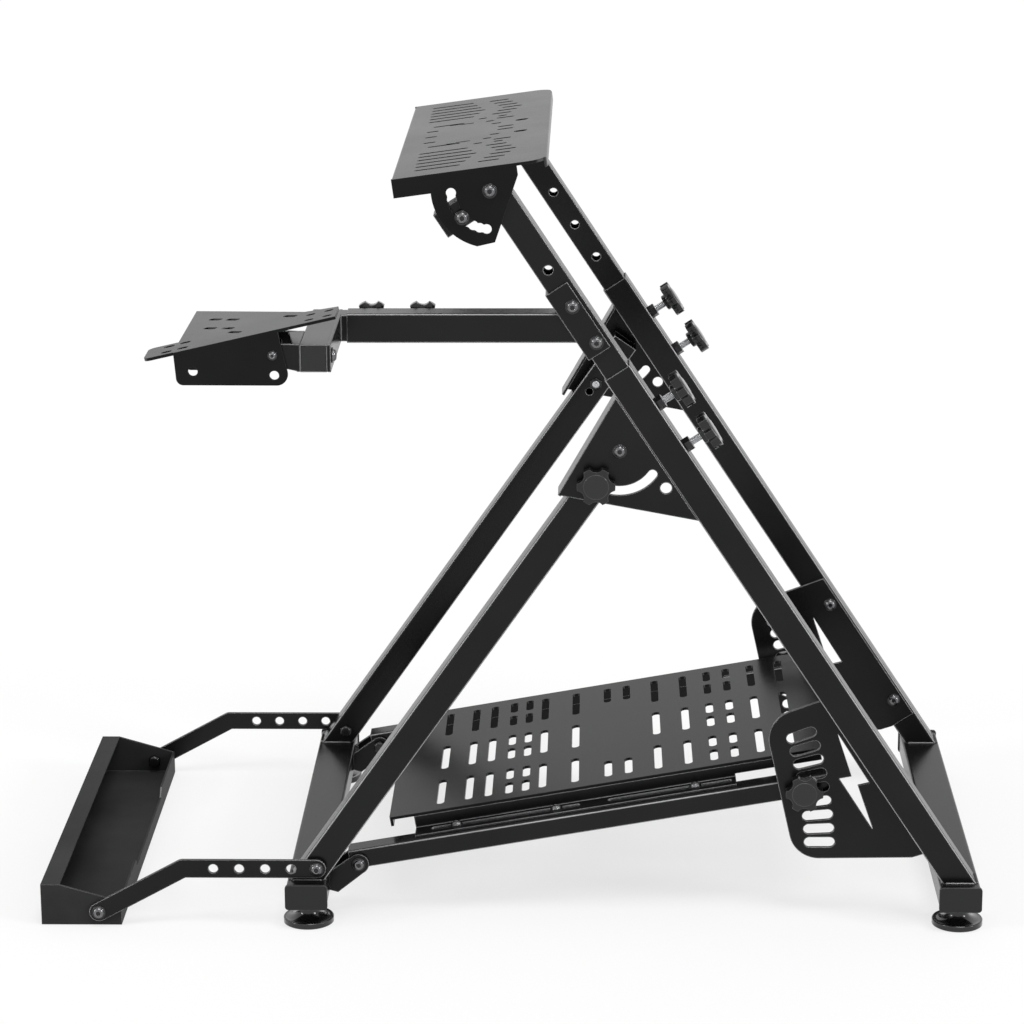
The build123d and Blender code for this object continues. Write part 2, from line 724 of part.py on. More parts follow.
def caster_tray():
    """Folded tray that the chair's front casters stand in."""
    width = 2 * bar_in
    floor = Pos((tray_back_x + tray_front_x) / 2, 0, tray_floor_z + tray_sheet / 2) * Box(
        tray_length, width, tray_sheet)
    back = Pos(tray_back_x + tray_sheet / 2, 0, tray_floor_z + tray_back_height / 2) * Box(
        tray_sheet, width, tray_back_height)
    flange = Pos(tray_back_x + tray_flange / 2, 0, tray_floor_z + tray_back_height - tray_sheet / 2) * Box(
        tray_flange, width, tray_sheet)
    front = Pos(tray_front_x - tray_sheet / 2, 0, tray_floor_z + tray_front_height / 2) * Box(
        tray_sheet, width, tray_front_height)
    dip = make_face(Polyline(
        (-tray_dip_half_width - tray_front_dip, tray_front_height),
        (-tray_dip_half_width, tray_front_height - tray_front_dip),
        (tray_dip_half_width, tray_front_height - tray_front_dip),
        (tray_dip_half_width + tray_front_dip, tray_front_height),
        (-tray_dip_half_width - tray_front_dip, tray_front_height)))
    front -= Pos(tray_front_x - 2 * tray_sheet, 0, tray_floor_z) * extrude(Plane.YZ * dip, 4 * tray_sheet)
    return floor + back + flange + front + tray_end(-1) + tray_end(1)


def tray_bolt(side):
    return side_bolt(tray_bolt_x, tray_bolt_z, side, bar_in - tray_sheet, bar_in + bar_thickness)


# Telescoping mast

def inner_tube(side):
    place = turned(half_spread, side * tube_plane, beam_top, main_angle)
    tube = place * Pos(inner_bottom, 0, 0) * square_tube(
        inner_top - inner_bottom, inner_size, inner_size, tube_wall, tube_corner - tube_wall)
    for step in range(-hidden_hole_count, adjust_hole_count):
        x, z = main_point(adjust_hole_first + step * adjust_hole_pitch, 0)
        tube -= side_rod(x, z, side, tube_in - 1, tube_out + 1, adjust_hole_radius)
    tube -= side_rod(wheel_x, wheel_z, side, tube_in - 1, tube_out + 1, bolt_hole)
    return tube


def clamp_point():
    """Centre of the wheel plate's clamp bolt, on the tilt stub."""
    turn = wheel_slot_first + (wheel_slot_steps / 2) * wheel_slot_step_angle
    return polar(wheel_x, wheel_z, turn, wheel_clamp_radius)


def tilt_stub(side):
    """Short tube square to the top of the mast tube; the clamp bolt passes through it."""
    place = turned(half_spread, side * tube_plane, beam_top, main_angle)
    stub = square_tube(tilt_stub_length, inner_size, inner_size, tube_wall, tube_corner - tube_wall)
    stub = place * Pos(inner_top - inner_size / 2 - 1, 0, inner_size / 2) * Rot(0, -90, 0) * stub
    x, z = clamp_point()
    return stub - side_rod(x, z, side, tube_in - 1, tube_out + 1, bolt_hole)


def wheel_pivot_bolt(side):
    return side_bolt(wheel_x, wheel_z, side, tube_plane - inner_size / 2, sector_out + fit_gap)


def wheel_clamp_bolt(side):
    x, z = clamp_point()
    return side_bolt(x, z, side, tube_plane - inner_size / 2, sector_out + fit_gap)


def shifter_bracket():
    """Angle bolted to the right mast tube: a leg on its outer face and a web behind it."""
    half = inner_size / 2
    place = turned(half_spread, -tube_plane, beam_top, main_angle)
    length = bracket_top - bracket_bottom
    middle = (bracket_top + bracket_bottom) / 2
    leg = place * Pos(middle, -half - plate_thickness / 2, plate_thickness / 2 + 2) * Box(
        length, plate_thickness, 2 * half + plate_thickness - 4)
    web = place * Pos(middle, -plate_thickness / 2, half + plate_thickness / 2) * Box(
        length, 2 * half + plate_thickness, plate_thickness)
    bracket = leg + web
    for step in range(2):
        x, z = main_point(adjust_hole_first + step * adjust_hole_pitch, 0)
        bracket -= side_rod(x, z, -1, tube_in, tube_out + tube_size, adjust_hole_radius)
    return bracket


def bracket_bolts():
    bolts = []
    for step in range(2):
        x, z = main_point(adjust_hole_first + step * adjust_hole_pitch, 0)
        face = tube_plane + inner_size / 2 + plate_thickness
        bolts.append(side_bolt(x, z, -1, tube_plane - inner_size / 2, face).solid())
    return Compound(bolts)


def shifter_arm():
    """Level tube welded to the bracket's web, cut to its slope."""
    length = arm_reach
    arm = Pos(arm_end, -arm_plane, arm_height) * square_tube(
        length, arm_size, arm_size, tube_wall, tube_corner)
    place = turned(half_spread, -arm_plane, beam_top, main_angle)
    arm -= place * Pos(inner_top / 2, 0, bracket_face - 2 * length) * Box(
        2 * inner_top, 4 * arm_size, 4 * length)
    for inset in arm_knob_insets:
        arm -= rod_y(arm_end + inset, arm_height, -tube_in + 1, -tube_in - 2 * tube_wall, bolt_hole)
    return arm


def arm_knobs():
    knobs = []
    for inset in arm_knob_insets:
        knob = star_knob(tube_wall + telescope_clearance - 1.2, 4.0)
        place = Pos(arm_end + inset, arm_size / 2 - arm_plane, arm_height) * Rot(-90, 0, 0)
        knobs.append((place * knob).solid())
    return Compound(knobs)


# Wheel plate

def wheel_point(along, above):
    """Point of the wheel plate's side view: from its rear top edge, along it and above it."""
    x, z = turned_point(wheel_x, wheel_z, wheel_tilt, -wheel_pivot_from_rear, wheel_pivot_below)
    return turned_point(x, z, wheel_tilt, along, above)


def wheel_flange(side):
    """Side flange with the tilt sector and its scalloped slot."""
    start = wheel_point(sector_start, -wheel_flange_depth)
    reach = sector_radius
    low_drop = sqrt(reach ** 2 - sector_low_behind ** 2)
    low = (wheel_pivot_from_rear - sector_low_behind, -wheel_pivot_below - low_drop)
    bend = (wheel_pivot_from_rear - reach * cos(radians(40)), -wheel_pivot_below - reach * sin(radians(40)))
    top = (sector_start, -wheel_flange_depth)
    border = Polyline(
        wheel_point(*top), wheel_point(0, -wheel_flange_depth), wheel_point(0, 0),
        wheel_point(wheel_flange_length, 0), wheel_point(wheel_flange_length, -wheel_flange_depth * 0.65),
        wheel_point(wheel_pivot_from_rear - 2, -sector_low), wheel_point(*low))
    border += ThreePointArc(wheel_point(*low), wheel_point(*bend), start)
    outline = make_face(border)
    outline -= Pos(wheel_x, wheel_z) * Circle(bolt_hole)
    first = wheel_slot_first
    for step in range(wheel_slot_steps + 1):
        centre = polar(wheel_x, wheel_z, first + step * wheel_slot_step_angle, wheel_clamp_radius)
        outline -= Pos(*centre) * Circle(wheel_slot_radius)
    outline -= arc_slot(wheel_x, wheel_z, wheel_clamp_radius, first,
                        wheel_slot_steps * wheel_slot_step_angle, wheel_slot_radius - 0.8)
    return side_sheet(outline, side, sector_in, plate_thickness)


def wheel_slots():
    """Long slots of the wheel plate, as one sketch seen from above."""
    slots = Sketch()

    def slot(start, length, y):
        return Pos(start + length / 2, y) * SlotOverall(length, wheel_slot_width)

    for side in (-1, 1):
        for row, length in enumerate(vent_lengths):
            slots += slot(vent_start, length, side * (vent_first_row + row * vent_row_pitch))
        for row, start in enumerate(chevron_starts):
            slots += slot(start, chevron_lengths[row], side * (chevron_first_row + row * chevron_pitch))
        for start, length, y in middle_slots:
            slots += slot(start, length, side * y)
    return slots


def wheel_plate():
    """Slotted top with side flanges, a rear wall and a rounded front lip."""
    width = 2 * sector_out
    x, z = wheel_point(0, 0)
    place = turned(x, 0, z, wheel_tilt)
    outline = Pos(wheel_plate_length / 2, 0) * Rectangle(wheel_plate_length, width)
    top = Pos(0, 0, -plate_thickness) * extrude(outline - wheel_slots(), plate_thickness)
    rear = Pos(plate_thickness / 2, 0, -wheel_flange_depth / 2) * Box(
        plate_thickness, width, wheel_flange_depth)
    front = Pos(wheel_plate_length - plate_thickness / 2, 0, -wheel_front_lip / 2) * Box(
        plate_thickness, width, wheel_front_lip)
    folded = top + rear + front
    outer = folded.edges().filter_by(Axis.Y).group_by(Axis.Z)[-1]
    folded = fillet(outer, plate_thickness - 0.5)
    rounded = fillet(outline.vertices().group_by(Axis.X)[-1], wheel_corner)
    folded &= Pos(0, 0, -wheel_flange_depth) * extrude(rounded, 2 * wheel_flange_depth)
    return place * folded + wheel_flange(-1) + wheel_flange(1)


# Shifter slide and shifter plate

def shifter_slide():
    """Telescoping tube in the arm, an end plate and a cross stub towards the driver's right."""
    length = slide_gap + slide_inside_length
    slide = Pos(slide_end, -arm_plane, arm_height) * square_tube(
        length, inner_size, inner_size, tube_wall, tube_corner - tube_wall)
    plate_depth = stub_near_end - tube_in
    plate = Pos(slide_end - plate_thickness / 2, -(stub_near_end + tube_in) / 2, arm_height) * Box(
        plate_thickness, plate_depth, stub_side)
    stub = Pos(stub_face + stub_side / 2, -stub_near_end, arm_height) * Rot(0, 0, 90) * square_tube(
        plate_depth, stub_side, stub_side, tube_wall, tube_corner - tube_wall)
    hole = stub_bolt_place() * Pos(0, 0, -stub_bolt_grip / 2) * Cylinder(bolt_hole, stub_bolt_grip + 1)
    return slide + plate + stub - hole


def stub_bolt_place():
    """Seat of the bolt that holds the end plate to the stub, its axis along +X."""
    return Pos(slide_end, stub_bolt_inset - stub_near_end, arm_height) * Rot(0, 90, 0)


def stub_bolt():
    bolt = button_head(bolt_head_radius, bolt_head_height)
    bolt += Pos(0, 0, -stub_bolt_grip / 2) * Cylinder(bolt_radius, stub_bolt_grip)
    return stub_bolt_place() * bolt


def shifter_ears():
    """Bracket on the stub: a base, a level top and two ears that carry the shifter plate."""
    outer = flange_in - fit_gap
    low = arm_height - stub_side / 2
    high = arm_height + stub_side / 2
    bracket = Pos(stub_face - plate_thickness / 2, ear_spacing / 2 - outer, arm_height) * Box(
        plate_thickness, ear_spacing, stub_side)
    far = ear_spacing - outer
    top = make_face(Polyline(
        (stub_face, -outer), (stub_face - ear_top_near, -outer), (stub_face - ear_top_far, far),
        (stub_face, far), (stub_face, -outer)))
    bracket += Pos(0, 0, high - plate_thickness) * extrude(top, plate_thickness)
    for y_low in (-outer, far - plate_thickness):
        reach = make_face(Polyline(
            (stub_face, low), (stub_face, high), (stub_face - ear_top_near, high),
            (shifter_pivot_x, shifter_pivot_z + ear_end_radius),
            (shifter_pivot_x, shifter_pivot_z - ear_end_radius), (stub_face, low)))
        reach += Pos(shifter_pivot_x, shifter_pivot_z) * Circle(ear_end_radius)
        reach -= Pos(shifter_pivot_x, shifter_pivot_z) * Circle(shifter_bolt_hole)
        bracket += upright_sheet(reach, y_low, plate_thickness)
    return bracket


def shifter_point(along, above):
    x, z = turned_point(shifter_pivot_x, shifter_pivot_z, shifter_tilt,
                        -shifter_pivot_from_rear, shifter_pivot_below)
    return turned_point(x, z, shifter_tilt, along, above)


def shifter_flange(y_low):
    """Tapered side flange of the shifter plate."""
    outline = make_face(Polyline(
        shifter_point(0, 0), shifter_point(shifter_flange_end, 0),
        shifter_point(shifter_flange_end, -shifter_flange_deep),
        shifter_point(-shifter_flange_rake, -shifter_flange_shallow), shifter_point(0, 0)))
    outline = fillet(outline.vertices().sort_by(Axis.X)[-1], shifter_flange_front_corner)
    rear_corner = outline.vertices().sort_by(Axis.X)[:2].sort_by(Axis.Y)[0]
    outline = fillet(rear_corner, shifter_flange_rear_corner)
    outline -= Pos(shifter_pivot_x, shifter_pivot_z) * Circle(shifter_bolt_hole)
    for along, above in shifter_flange_holes:
        outline -= Pos(*shifter_point(along, above)) * Circle(shifter_hole_radius)
    return upright_sheet(outline, y_low, plate_thickness)


def shifter_top():
    """Top of the shifter plate: a long strip with a tongue and a wing, and a wide rear corner."""
    outline = make_face(Polyline(
        (0, 0), (shifter_length, 0), (shifter_length, shifter_strip_width - shifter_end_notch),
        (shifter_far_end, shifter_wing_reach), (shifter_rear_rake, shifter_far_reach),
        (0, shifter_strip_width), (0, 0)))
    outline += Pos(tongue_overlap - tongue_length / 2, tongue_width / 2 + tongue_inset) * RectangleRounded(
        tongue_length + 2 * tongue_overlap, tongue_width, tongue_corner)
    slope = degrees(atan2(shifter_wing_reach - shifter_far_reach, shifter_far_end))
    for u, v in shifter_slots:
        outline -= Pos(u, v) * Rot(0, 0, slope) * SlotOverall(shifter_slot_length, shifter_slot_width)
    for u, v in shifter_end_holes:
        outline -= Pos(u, v) * SlotOverall(9, shifter_slot_width)
    for u, v in tongue_slots:
        outline -= Pos(u, v) * SlotOverall(11, shifter_slot_width + 1)
    return extrude(outline, plate_thickness)


def shifter_plate():
    x, z = shifter_point(0, 0)
    top = turned(x, -flange_out, z, shifter_tilt) * Pos(0, 0, -plate_thickness) * shifter_top()
    far_face = -flange_in - fit_gap + ear_spacing + 2 * fit_gap
    return top + shifter_flange(-flange_out) + shifter_flange(far_face)


def shifter_pivot_bolt():
    end = flange_in - ear_spacing - plate_thickness - fit_gap
    return side_bolt(shifter_pivot_x, shifter_pivot_z, -1, end, flange_out + fit_gap,
                     shifter_bolt_radius, shifter_bolt_head_radius)


def write(name, piece):
    """Move a finished piece to the stand's origin and write it as one file."""
    placed = Pos(-origin_x, -origin_y, 0) * piece
    placed.label = name
    export_step(placed, os.path.join("parts", name + ".step"))


pieces = {
    "front_foot_beam": foot_beam(half_spread),
    "front_beam_caps": at_both_feet(beam_cap, half_spread),
    "front_levelling_feet": at_both_feet(levelling_foot, half_spread),
    "height_nuts": height_nuts(),
    "height_knobs": height_knobs(),
    "fold_pivot_bolts": both(fold_pivot_bolt),
    "pedal_clamp_knobs": both(pedal_clamp_knob),
    "rear_foot_beam": foot_beam(-half_spread),
    "rear_beam_caps": at_both_feet(beam_cap, -half_spread),
    "rear_levelling_feet": at_both_feet(levelling_foot, -half_spread),
    "fold_clamp_knobs": both(fold_clamp_knob),
    "pedal_hinge_clevises": both(hinge_clevis),
    "pedal_hinge_bolts": both(hinge_bolt),
    "stop_bar_bolts": both(bar_pivot_bolt),
    "clamp_spacers": both(clamp_spacer),
    "pedal_rails": both(pedal_rail),
    "pedal_plate": pedal_plate(),
    "caster_tray": caster_tray(),
    "tray_bolts": both(tray_bolt),
    "tilt_stubs": both(tilt_stub),
    "wheel_pivot_bolts": both(wheel_pivot_bolt),
    "wheel_clamp_bolts": both(wheel_clamp_bolt),
    "shifter_bracket": shifter_bracket(),
    "bracket_bolts": bracket_bolts(),
    "shifter_arm": shifter_arm(),
    "shifter_arm_knobs": arm_knobs(),
    "wheel_plate": wheel_plate(),
    "shifter_slide": shifter_slide(),
    "stub_bolt": stub_bolt(),
    "shifter_ears": shifter_ears(),
    "shifter_plate": shifter_plate(),
    "shifter_pivot_bolt": shifter_pivot_bolt(),
}
for side in (-1, 1):
    for name, maker in (
            ("main_tube", main_tube), ("gusset", gusset), ("side_plate", side_plate),
            ("support_tube", support_tube), ("pedal_tube", pedal_tube), ("stop_bar", stop_bar),
            ("mast_tube", inner_tube)):
        pieces[side_name(side) + "_" + name] = maker(side)
for name, piece in pieces.items():
    write(name, piece)
print(len(pieces), "pieces; support frame at", round(support_angle, 2), "degrees")
print("origin", round(origin_x, 2), round(origin_y, 2))
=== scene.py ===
# %% [markdown]
# # A folding racing wheel stand
#
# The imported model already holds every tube, plate and bolt at its true size. This lesson dresses it:
# it gives each surface its finish, swaps the plain fasteners for detailed ones, adds the welds, and
# sets a quiet studio round it. Blender's unit is the metre. The model is never moved, so a new piece
# is made where the model says and then rides on the body that carries it.

import json
from math import cos, pi, radians, sin

import bmesh
import bpy
from mathutils import Matrix, Vector


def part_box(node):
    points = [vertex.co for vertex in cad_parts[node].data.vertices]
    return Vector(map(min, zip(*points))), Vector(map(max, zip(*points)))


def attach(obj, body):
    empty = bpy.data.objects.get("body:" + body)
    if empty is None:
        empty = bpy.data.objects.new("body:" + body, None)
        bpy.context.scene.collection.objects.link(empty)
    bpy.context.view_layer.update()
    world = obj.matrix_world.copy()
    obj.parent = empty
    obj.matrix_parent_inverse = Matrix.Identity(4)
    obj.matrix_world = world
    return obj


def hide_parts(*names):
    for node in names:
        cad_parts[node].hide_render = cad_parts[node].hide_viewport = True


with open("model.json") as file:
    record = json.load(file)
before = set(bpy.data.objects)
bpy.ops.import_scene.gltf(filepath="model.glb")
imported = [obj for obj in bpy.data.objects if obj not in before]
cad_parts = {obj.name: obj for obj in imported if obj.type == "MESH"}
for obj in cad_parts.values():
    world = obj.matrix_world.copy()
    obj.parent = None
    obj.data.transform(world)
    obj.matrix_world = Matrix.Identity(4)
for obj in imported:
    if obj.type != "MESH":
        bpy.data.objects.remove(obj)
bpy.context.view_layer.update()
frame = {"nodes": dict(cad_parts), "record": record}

# %% [markdown]
# ## Finding places on the stand
#
# The stand is drawn in millimetres from the middle of its four feet. We could type every place in
# metres, but then a moved foot would move nothing else. Instead two foot beams are asked where they
# are, and one function turns the stand's own millimetres into the frame's metres.

# %% The stand's own ruler
front_low, front_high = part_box("front_foot_beam")
rear_low, rear_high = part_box("rear_foot_beam")
MIDDLE_X = (front_low.x + rear_high.x) / 2
MIDDLE_Y = (front_low.y + front_high.y) / 2
MM = 0.001


def at(x, y, z):
    """A place of the stand, in millimetres from below its middle, as a vector in metres."""
    return Vector((MIDDLE_X + x * MM, MIDDLE_Y + y * MM, z * MM))


HALF_SPREAD = (front_low.x + front_high.x - rear_low.x - rear_high.x) / 4 / MM
print("feet", round(HALF_SPREAD, 1), "mm from the middle")

# %% [markdown]
# ## Shader maths that reads like maths
#
# A finish is a small network of nodes. Wiring each Math node by hand hides the idea, so one class
# wraps a socket and gives it the plain operators, and another class adds any other node from its
# type, its settings and the values of its sockets. It also makes three masks. One finds sharp edges.
# One finds corners by how far the rounded surface has turned sideways, where 1 is a surface that faces
# the stand's side and 0.7 is halfway round the corner; a painted highlight goes there. The last tells the
# rays that end in the picture from those that only carry light, which the studio needs.

# %% Wires and finishes
EDGE_CONTRAST = 6.0
CORNER_TURN = 0.7
CORNER_REACH = 0.19
CORNER_CONTRAST = 10.0


class Wire:
    """A node's output. Adding, taking away or multiplying wires adds Math nodes."""

    def __init__(self, finish, socket):
        self.finish = finish
        self.socket = socket

    def maths(self, operation, first, second=0.0):
        """One Math node."""
        return self.finish.node("ShaderNodeMath", {"operation": operation}, {0: first, 1: second})

    def __add__(self, other):
        return self.maths("ADD", self, other)

    def __radd__(self, other):
        return self.maths("ADD", other, self)

    def __sub__(self, other):
        return self.maths("SUBTRACT", self, other)

    def __rsub__(self, other):
        return self.maths("SUBTRACT", other, self)

    def __mul__(self, other):
        return self.maths("MULTIPLY", self, other)

    def __rmul__(self, other):
        return self.maths("MULTIPLY", other, self)

    def clamp(self):
        """The same values, kept between 0 and 1."""
        return self.finish.node("ShaderNodeClamp", {}, {"Value": self})


class Finish:
    """The nodes of a material, or of the world."""

    def __init__(self, owner):
        self.owner = owner
        owner.use_nodes = True
        self.tree = owner.node_tree
        self.tree.nodes.clear()

    def node(self, kind, settings=None, inputs=None, output=0):
        """Add a node: its settings first, then its sockets' values or wires; returns one output."""
        made = self.tree.nodes.new(kind)
        for key, value in (settings or {}).items():
            setattr(made, key, value)
        for key, value in (inputs or {}).items():
            if isinstance(value, Wire):
                self.tree.links.new(value.socket, made.inputs[key])
            else:
                made.inputs[key].default_value = value
        return Wire(self, made.outputs[output]) if made.outputs else None

    def place(self):
        return self.node("ShaderNodeTexCoord", output="Object")

    def noise(self, scale, detail=2.0, roughness=0.5):
        return self.node("ShaderNodeTexNoise", {}, {
            "Vector": self.place(), "Scale": scale, "Detail": detail, "Roughness": roughness})

    def edges(self, radius):
        """A rounded normal and a mask that is 1 on sharp edges within the radius."""
        rounded = self.node("ShaderNodeBevel", {"samples": 6}, {"Radius": radius})
        flat = self.node("ShaderNodeNewGeometry", output="Normal")
        same = self.node(
            "ShaderNodeVectorMath", {"operation": "DOT_PRODUCT"}, {0: rounded, 1: flat}, "Value")
        return rounded, ((1.0 - same) * EDGE_CONTRAST).clamp()

    def corner_highlight_mask(self, rounded):
        """A mask that is 1 where a surface turns from the stand's side to its top, as on a corner, for a
        painted highlight.
        """
        sideways = self.node("ShaderNodeSeparateXYZ", {}, {0: rounded}, "Y")
        off = sideways.maths("ABSOLUTE", sideways.maths("ABSOLUTE", sideways) - CORNER_TURN)
        return ((CORNER_REACH - off) * CORNER_CONTRAST).clamp()

    def in_view(self):
        """A mask that is 1 for rays from the camera, and for mirrored and refracted ones."""
        camera_ray, glossy_ray, transmission_ray = (
            self.node("ShaderNodeLightPath", output=name)
            for name in ("Is Camera Ray", "Is Glossy Ray", "Is Transmission Ray"))
        return (camera_ray + glossy_ray + transmission_ray).clamp()

    def blend_colour(self, mask, first, second):
        return self.node("ShaderNodeMix", {"data_type": "RGBA"}, {0: mask, 6: first, 7: second}, 2)

    def bump(self, height, strength, distance, normal):
        return self.node("ShaderNodeBump", {}, {
            "Strength": strength, "Distance": distance, "Height": height, "Normal": normal})

    def surface(self, sockets):
        shader = self.node("ShaderNodeBsdfPrincipled", {}, sockets)
        self.node("ShaderNodeOutputMaterial", {}, {"Surface": shader})
        return self.owner


print("ready to mix finishes")

# %% [markdown]
# ## Black powder coat
#
# The tubes and plates are steel, dusted with black powder and baked. The coat is satin, a little
# uneven, with a fine orange peel, and it thins on sharp edges, where hands and bolts rub it paler;
# that pale edge colour also serves as a painted highlight along the edges. A flat black would look cut
# from card. Two sizes of noise give the peel and the cloudiness, and a Bevel node finds the edges and
# rounds them, so that they catch the light as pressed steel does. All tubes lie square to the stand's
# sides, so the corner mask finds their corners: a pale line is painted there as a highlight, in place
# of the lamps' glint on the rounded corner. The level plates are laser cut and their slots have crisp
# dark rims, so they get a second mix with less wear and a fainter painted highlight. The caster tray
# gets a third, matt one, so that its folds don't mirror each other; its base colour is five times paler.

# %% Powder coat
def powder_coat(name, radius, wear_and_highlight, shine=0.2, paleness=1.0, satin=0.15):
    """The coat: radius rounds its edges, wear_and_highlight rubs them pale and sets the painted edge and
    corner highlights, paleness makes its base colour paler and satin dulls it.
    """
    coat = Finish(bpy.data.materials.new(name))
    rounded, edge = coat.edges(radius)
    peel = coat.noise(900.0, 3.0, 0.6)
    cloud = coat.noise(9.0, 4.0, 0.55)
    speck = coat.noise(2600.0, 1.0)
    # Edge wear and painted highlight: the sharp edges turn pale, partly as rubbed coat and partly in
    # place of the light they catch.
    wear_and_edge_highlight = (edge * (cloud * 1.6 - 0.15)).clamp()
    deep, pale = 0.0035 * paleness, 0.0085 * paleness
    colour = coat.blend_colour(
        (cloud * 1.8 - 0.4).clamp(), (deep, deep, deep, 1), (pale, pale, pale * 1.03, 1))
    colour = coat.blend_colour(wear_and_edge_highlight * wear_and_highlight, colour, (0.16, 0.16, 0.165, 1))
    # Painted highlight: a pale line along the tubes' rounded corners, in place of the lamps' glint.
    painted_corner_highlight = coat.corner_highlight_mask(rounded) * (cloud * 0.9 + 0.35).clamp()
    colour = coat.blend_colour(painted_corner_highlight * wear_and_highlight, colour, (0.8, 0.8, 0.81, 1))
    roughness = cloud * 0.12 + speck * 0.06 + satin
    return coat.surface({
        "Base Color": colour, "Roughness": roughness, "Metallic": 0.0, "Specular IOR Level": shine,
        "Normal": coat.bump(peel + speck * 0.5, 0.12, 0.0002, rounded)})


COAT = powder_coat("black_powder_coat", 0.0022, 0.7)
DECK_COAT = powder_coat("black_deck_coat", 0.0008, 0.1, shine=0.11)
TRAY_COAT = powder_coat("matt_tray_coat", 0.0012, 0.3, shine=0.035, paleness=5.0, satin=0.4)
PLATE_COATS = {"wheel_plate": DECK_COAT, "pedal_plate": DECK_COAT, "shifter_plate": DECK_COAT,
               "caster_tray": TRAY_COAT}
print(COAT.name, DECK_COAT.name, TRAY_COAT.name)

# %% [markdown]
# ## Moulded plastic
#
# Star knobs and beam caps are glass-filled nylon: matt, with a faint grain from the mould and pale
# scuffs on their corners, which also serve as painted rim highlights. The levelling feet are harder and
# glossier, so their plastic keeps a clear coat and far less grain, and so do the knobs' caps. All come
# from one recipe with different numbers.

# %% Plastics
def plastic(name, grey, shine, grain, gloss_coat):
    skin = Finish(bpy.data.materials.new(name))
    rounded, edge = skin.edges(0.0012)
    fine = skin.noise(grain, 2.0, 0.6)
    cloud = skin.noise(30.0, 3.0)
    # Scuffs and painted highlight: the sharp rims turn pale, partly as scuffed plastic and partly in
    # place of the light they catch.
    scuff_and_rim_highlight = (edge * (cloud * 1.5 - 0.3)).clamp()
    colour = skin.blend_colour(scuff_and_rim_highlight * 0.8, (grey, grey, grey * 1.03, 1), (0.24, 0.24, 0.245, 1))
    roughness = shine + cloud * 0.08 + scuff_and_rim_highlight * 0.1
    return skin.surface({
        "Base Color": colour, "Roughness": roughness, "Specular IOR Level": 0.3,
        "Coat Weight": gloss_coat, "Coat Roughness": 0.08,
        "Normal": skin.bump(fine, 0.08, 0.0002, rounded)})


KNOB_PLASTIC = plastic("black_knob_plastic", 0.006, 0.18, 1500.0, 0.3)
CAP_PLASTIC = plastic("black_cap_plastic", 0.012, 0.42, 1100.0, 0.0)
FOOT_PLASTIC = plastic("glossy_foot_plastic", 0.006, 0.16, 400.0, 0.5)
CAP_GLOSS = plastic("glossy_knob_cap", 0.006, 0.20, 300.0, 0.4)
print(KNOB_PLASTIC.name, CAP_PLASTIC.name, CAP_GLOSS.name, FOOT_PLASTIC.name)

# %% [markdown]
# ## Fastener steel
#
# The bolts are blackened steel, dark grey and softly metallic, rubbed brighter where a key has
# turned in them; their pale edges, and the much paler crown round the socket, are also a painted glint.
# The studs of the knobs are zinc plated, which is pale, a little blue and finely mottled. Metal shows
# what it reflects, so most of the work is in the roughness.

# %% Bolts and studs
def metal(name, dark, pale, shine, wear_and_highlight):
    steel = Finish(bpy.data.materials.new(name))
    rounded, edge = steel.edges(0.0005)
    mottle = steel.noise(260.0, 4.0, 0.6)
    # Rubbed wear and painted glint: the edges turn pale.
    rub_and_glint = (edge * wear_and_highlight + mottle * 0.16).clamp()
    colour = steel.blend_colour(rub_and_glint, dark, pale)
    return steel.surface({
        "Base Color": colour, "Metallic": 0.9, "Roughness": shine + mottle * 0.16,
        "Normal": steel.bump(mottle, 0.05, 0.0002, rounded)})


BOLT_STEEL = metal("blackened_bolt_steel", (0.02, 0.02, 0.021, 1), (0.26, 0.26, 0.27, 1), 0.14, 0.4)
# Painted glint: the crown round the socket is far paler than the rest of the bolt's steel, partly as
# rubbed wear.
BOLT_CROWN_WEAR_AND_GLINT = metal("bolt_crown_wear_and_glint", (0.10, 0.10, 0.105, 1), (0.75, 0.75, 0.76, 1), 0.12, 0.7)
STUD_ZINC = metal("zinc_plated_stud", (0.55, 0.56, 0.58, 1), (0.78, 0.78, 0.79, 1), 0.18, 0.5)
print(BOLT_STEEL.name, BOLT_CROWN_WEAR_AND_GLINT.name, STUD_ZINC.name)

# %% [markdown]
# ## Dressing the model's own nodes
#
# A node that already has the right shape keeps its mesh and only gets a finish. The finish is
# chosen by the material slot that the record gives the node, so nothing is listed twice. Only the
# plates have coats of their own.

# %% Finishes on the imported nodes
FINISHES = {"powder_coat": COAT, "black_plastic": CAP_PLASTIC, "foot_plastic": FOOT_PLASTIC,
            "black_bolts": BOLT_STEEL}
for part in frame["record"]["subparts"]:
    mesh = frame["nodes"][part["node"]].data
    mesh.materials.clear()
    mesh.materials.append(PLATE_COATS.get(part["node"], FINISHES[part["material_slot"]]))

# %% [markdown]
# ## Working with operators
#
# The new pieces are modelled as by hand: a primitive, then extrude, scale, cut and bevel. An operator
# works on all that is selected, so each step first selects one thing. Most of these pieces are turned
# on a lathe in the factory, so one helper does the same: it starts with a disc and extrudes and
# scales it from ring to ring.

# %% Lathe, cutter and bevel
MODELS = []


def only(*objects):
    """Select these objects and nothing else; the last one is active."""
    bpy.ops.object.select_all(action="DESELECT")
    for item in objects:
        item.select_set(True)
        bpy.context.view_layer.objects.active = item


def settle(piece, name, finish, angle=35):
    """Name a modelled piece, bake its place into its mesh, smooth it and give it its finish."""
    only(piece)
    bpy.ops.object.transform_apply(location=True, rotation=True, scale=True)
    bpy.ops.object.shade_smooth_by_angle(angle=radians(angle))
    piece.name = name
    piece.data.materials.clear()
    piece.data.materials.append(finish)
    MODELS.append(piece)
    return piece


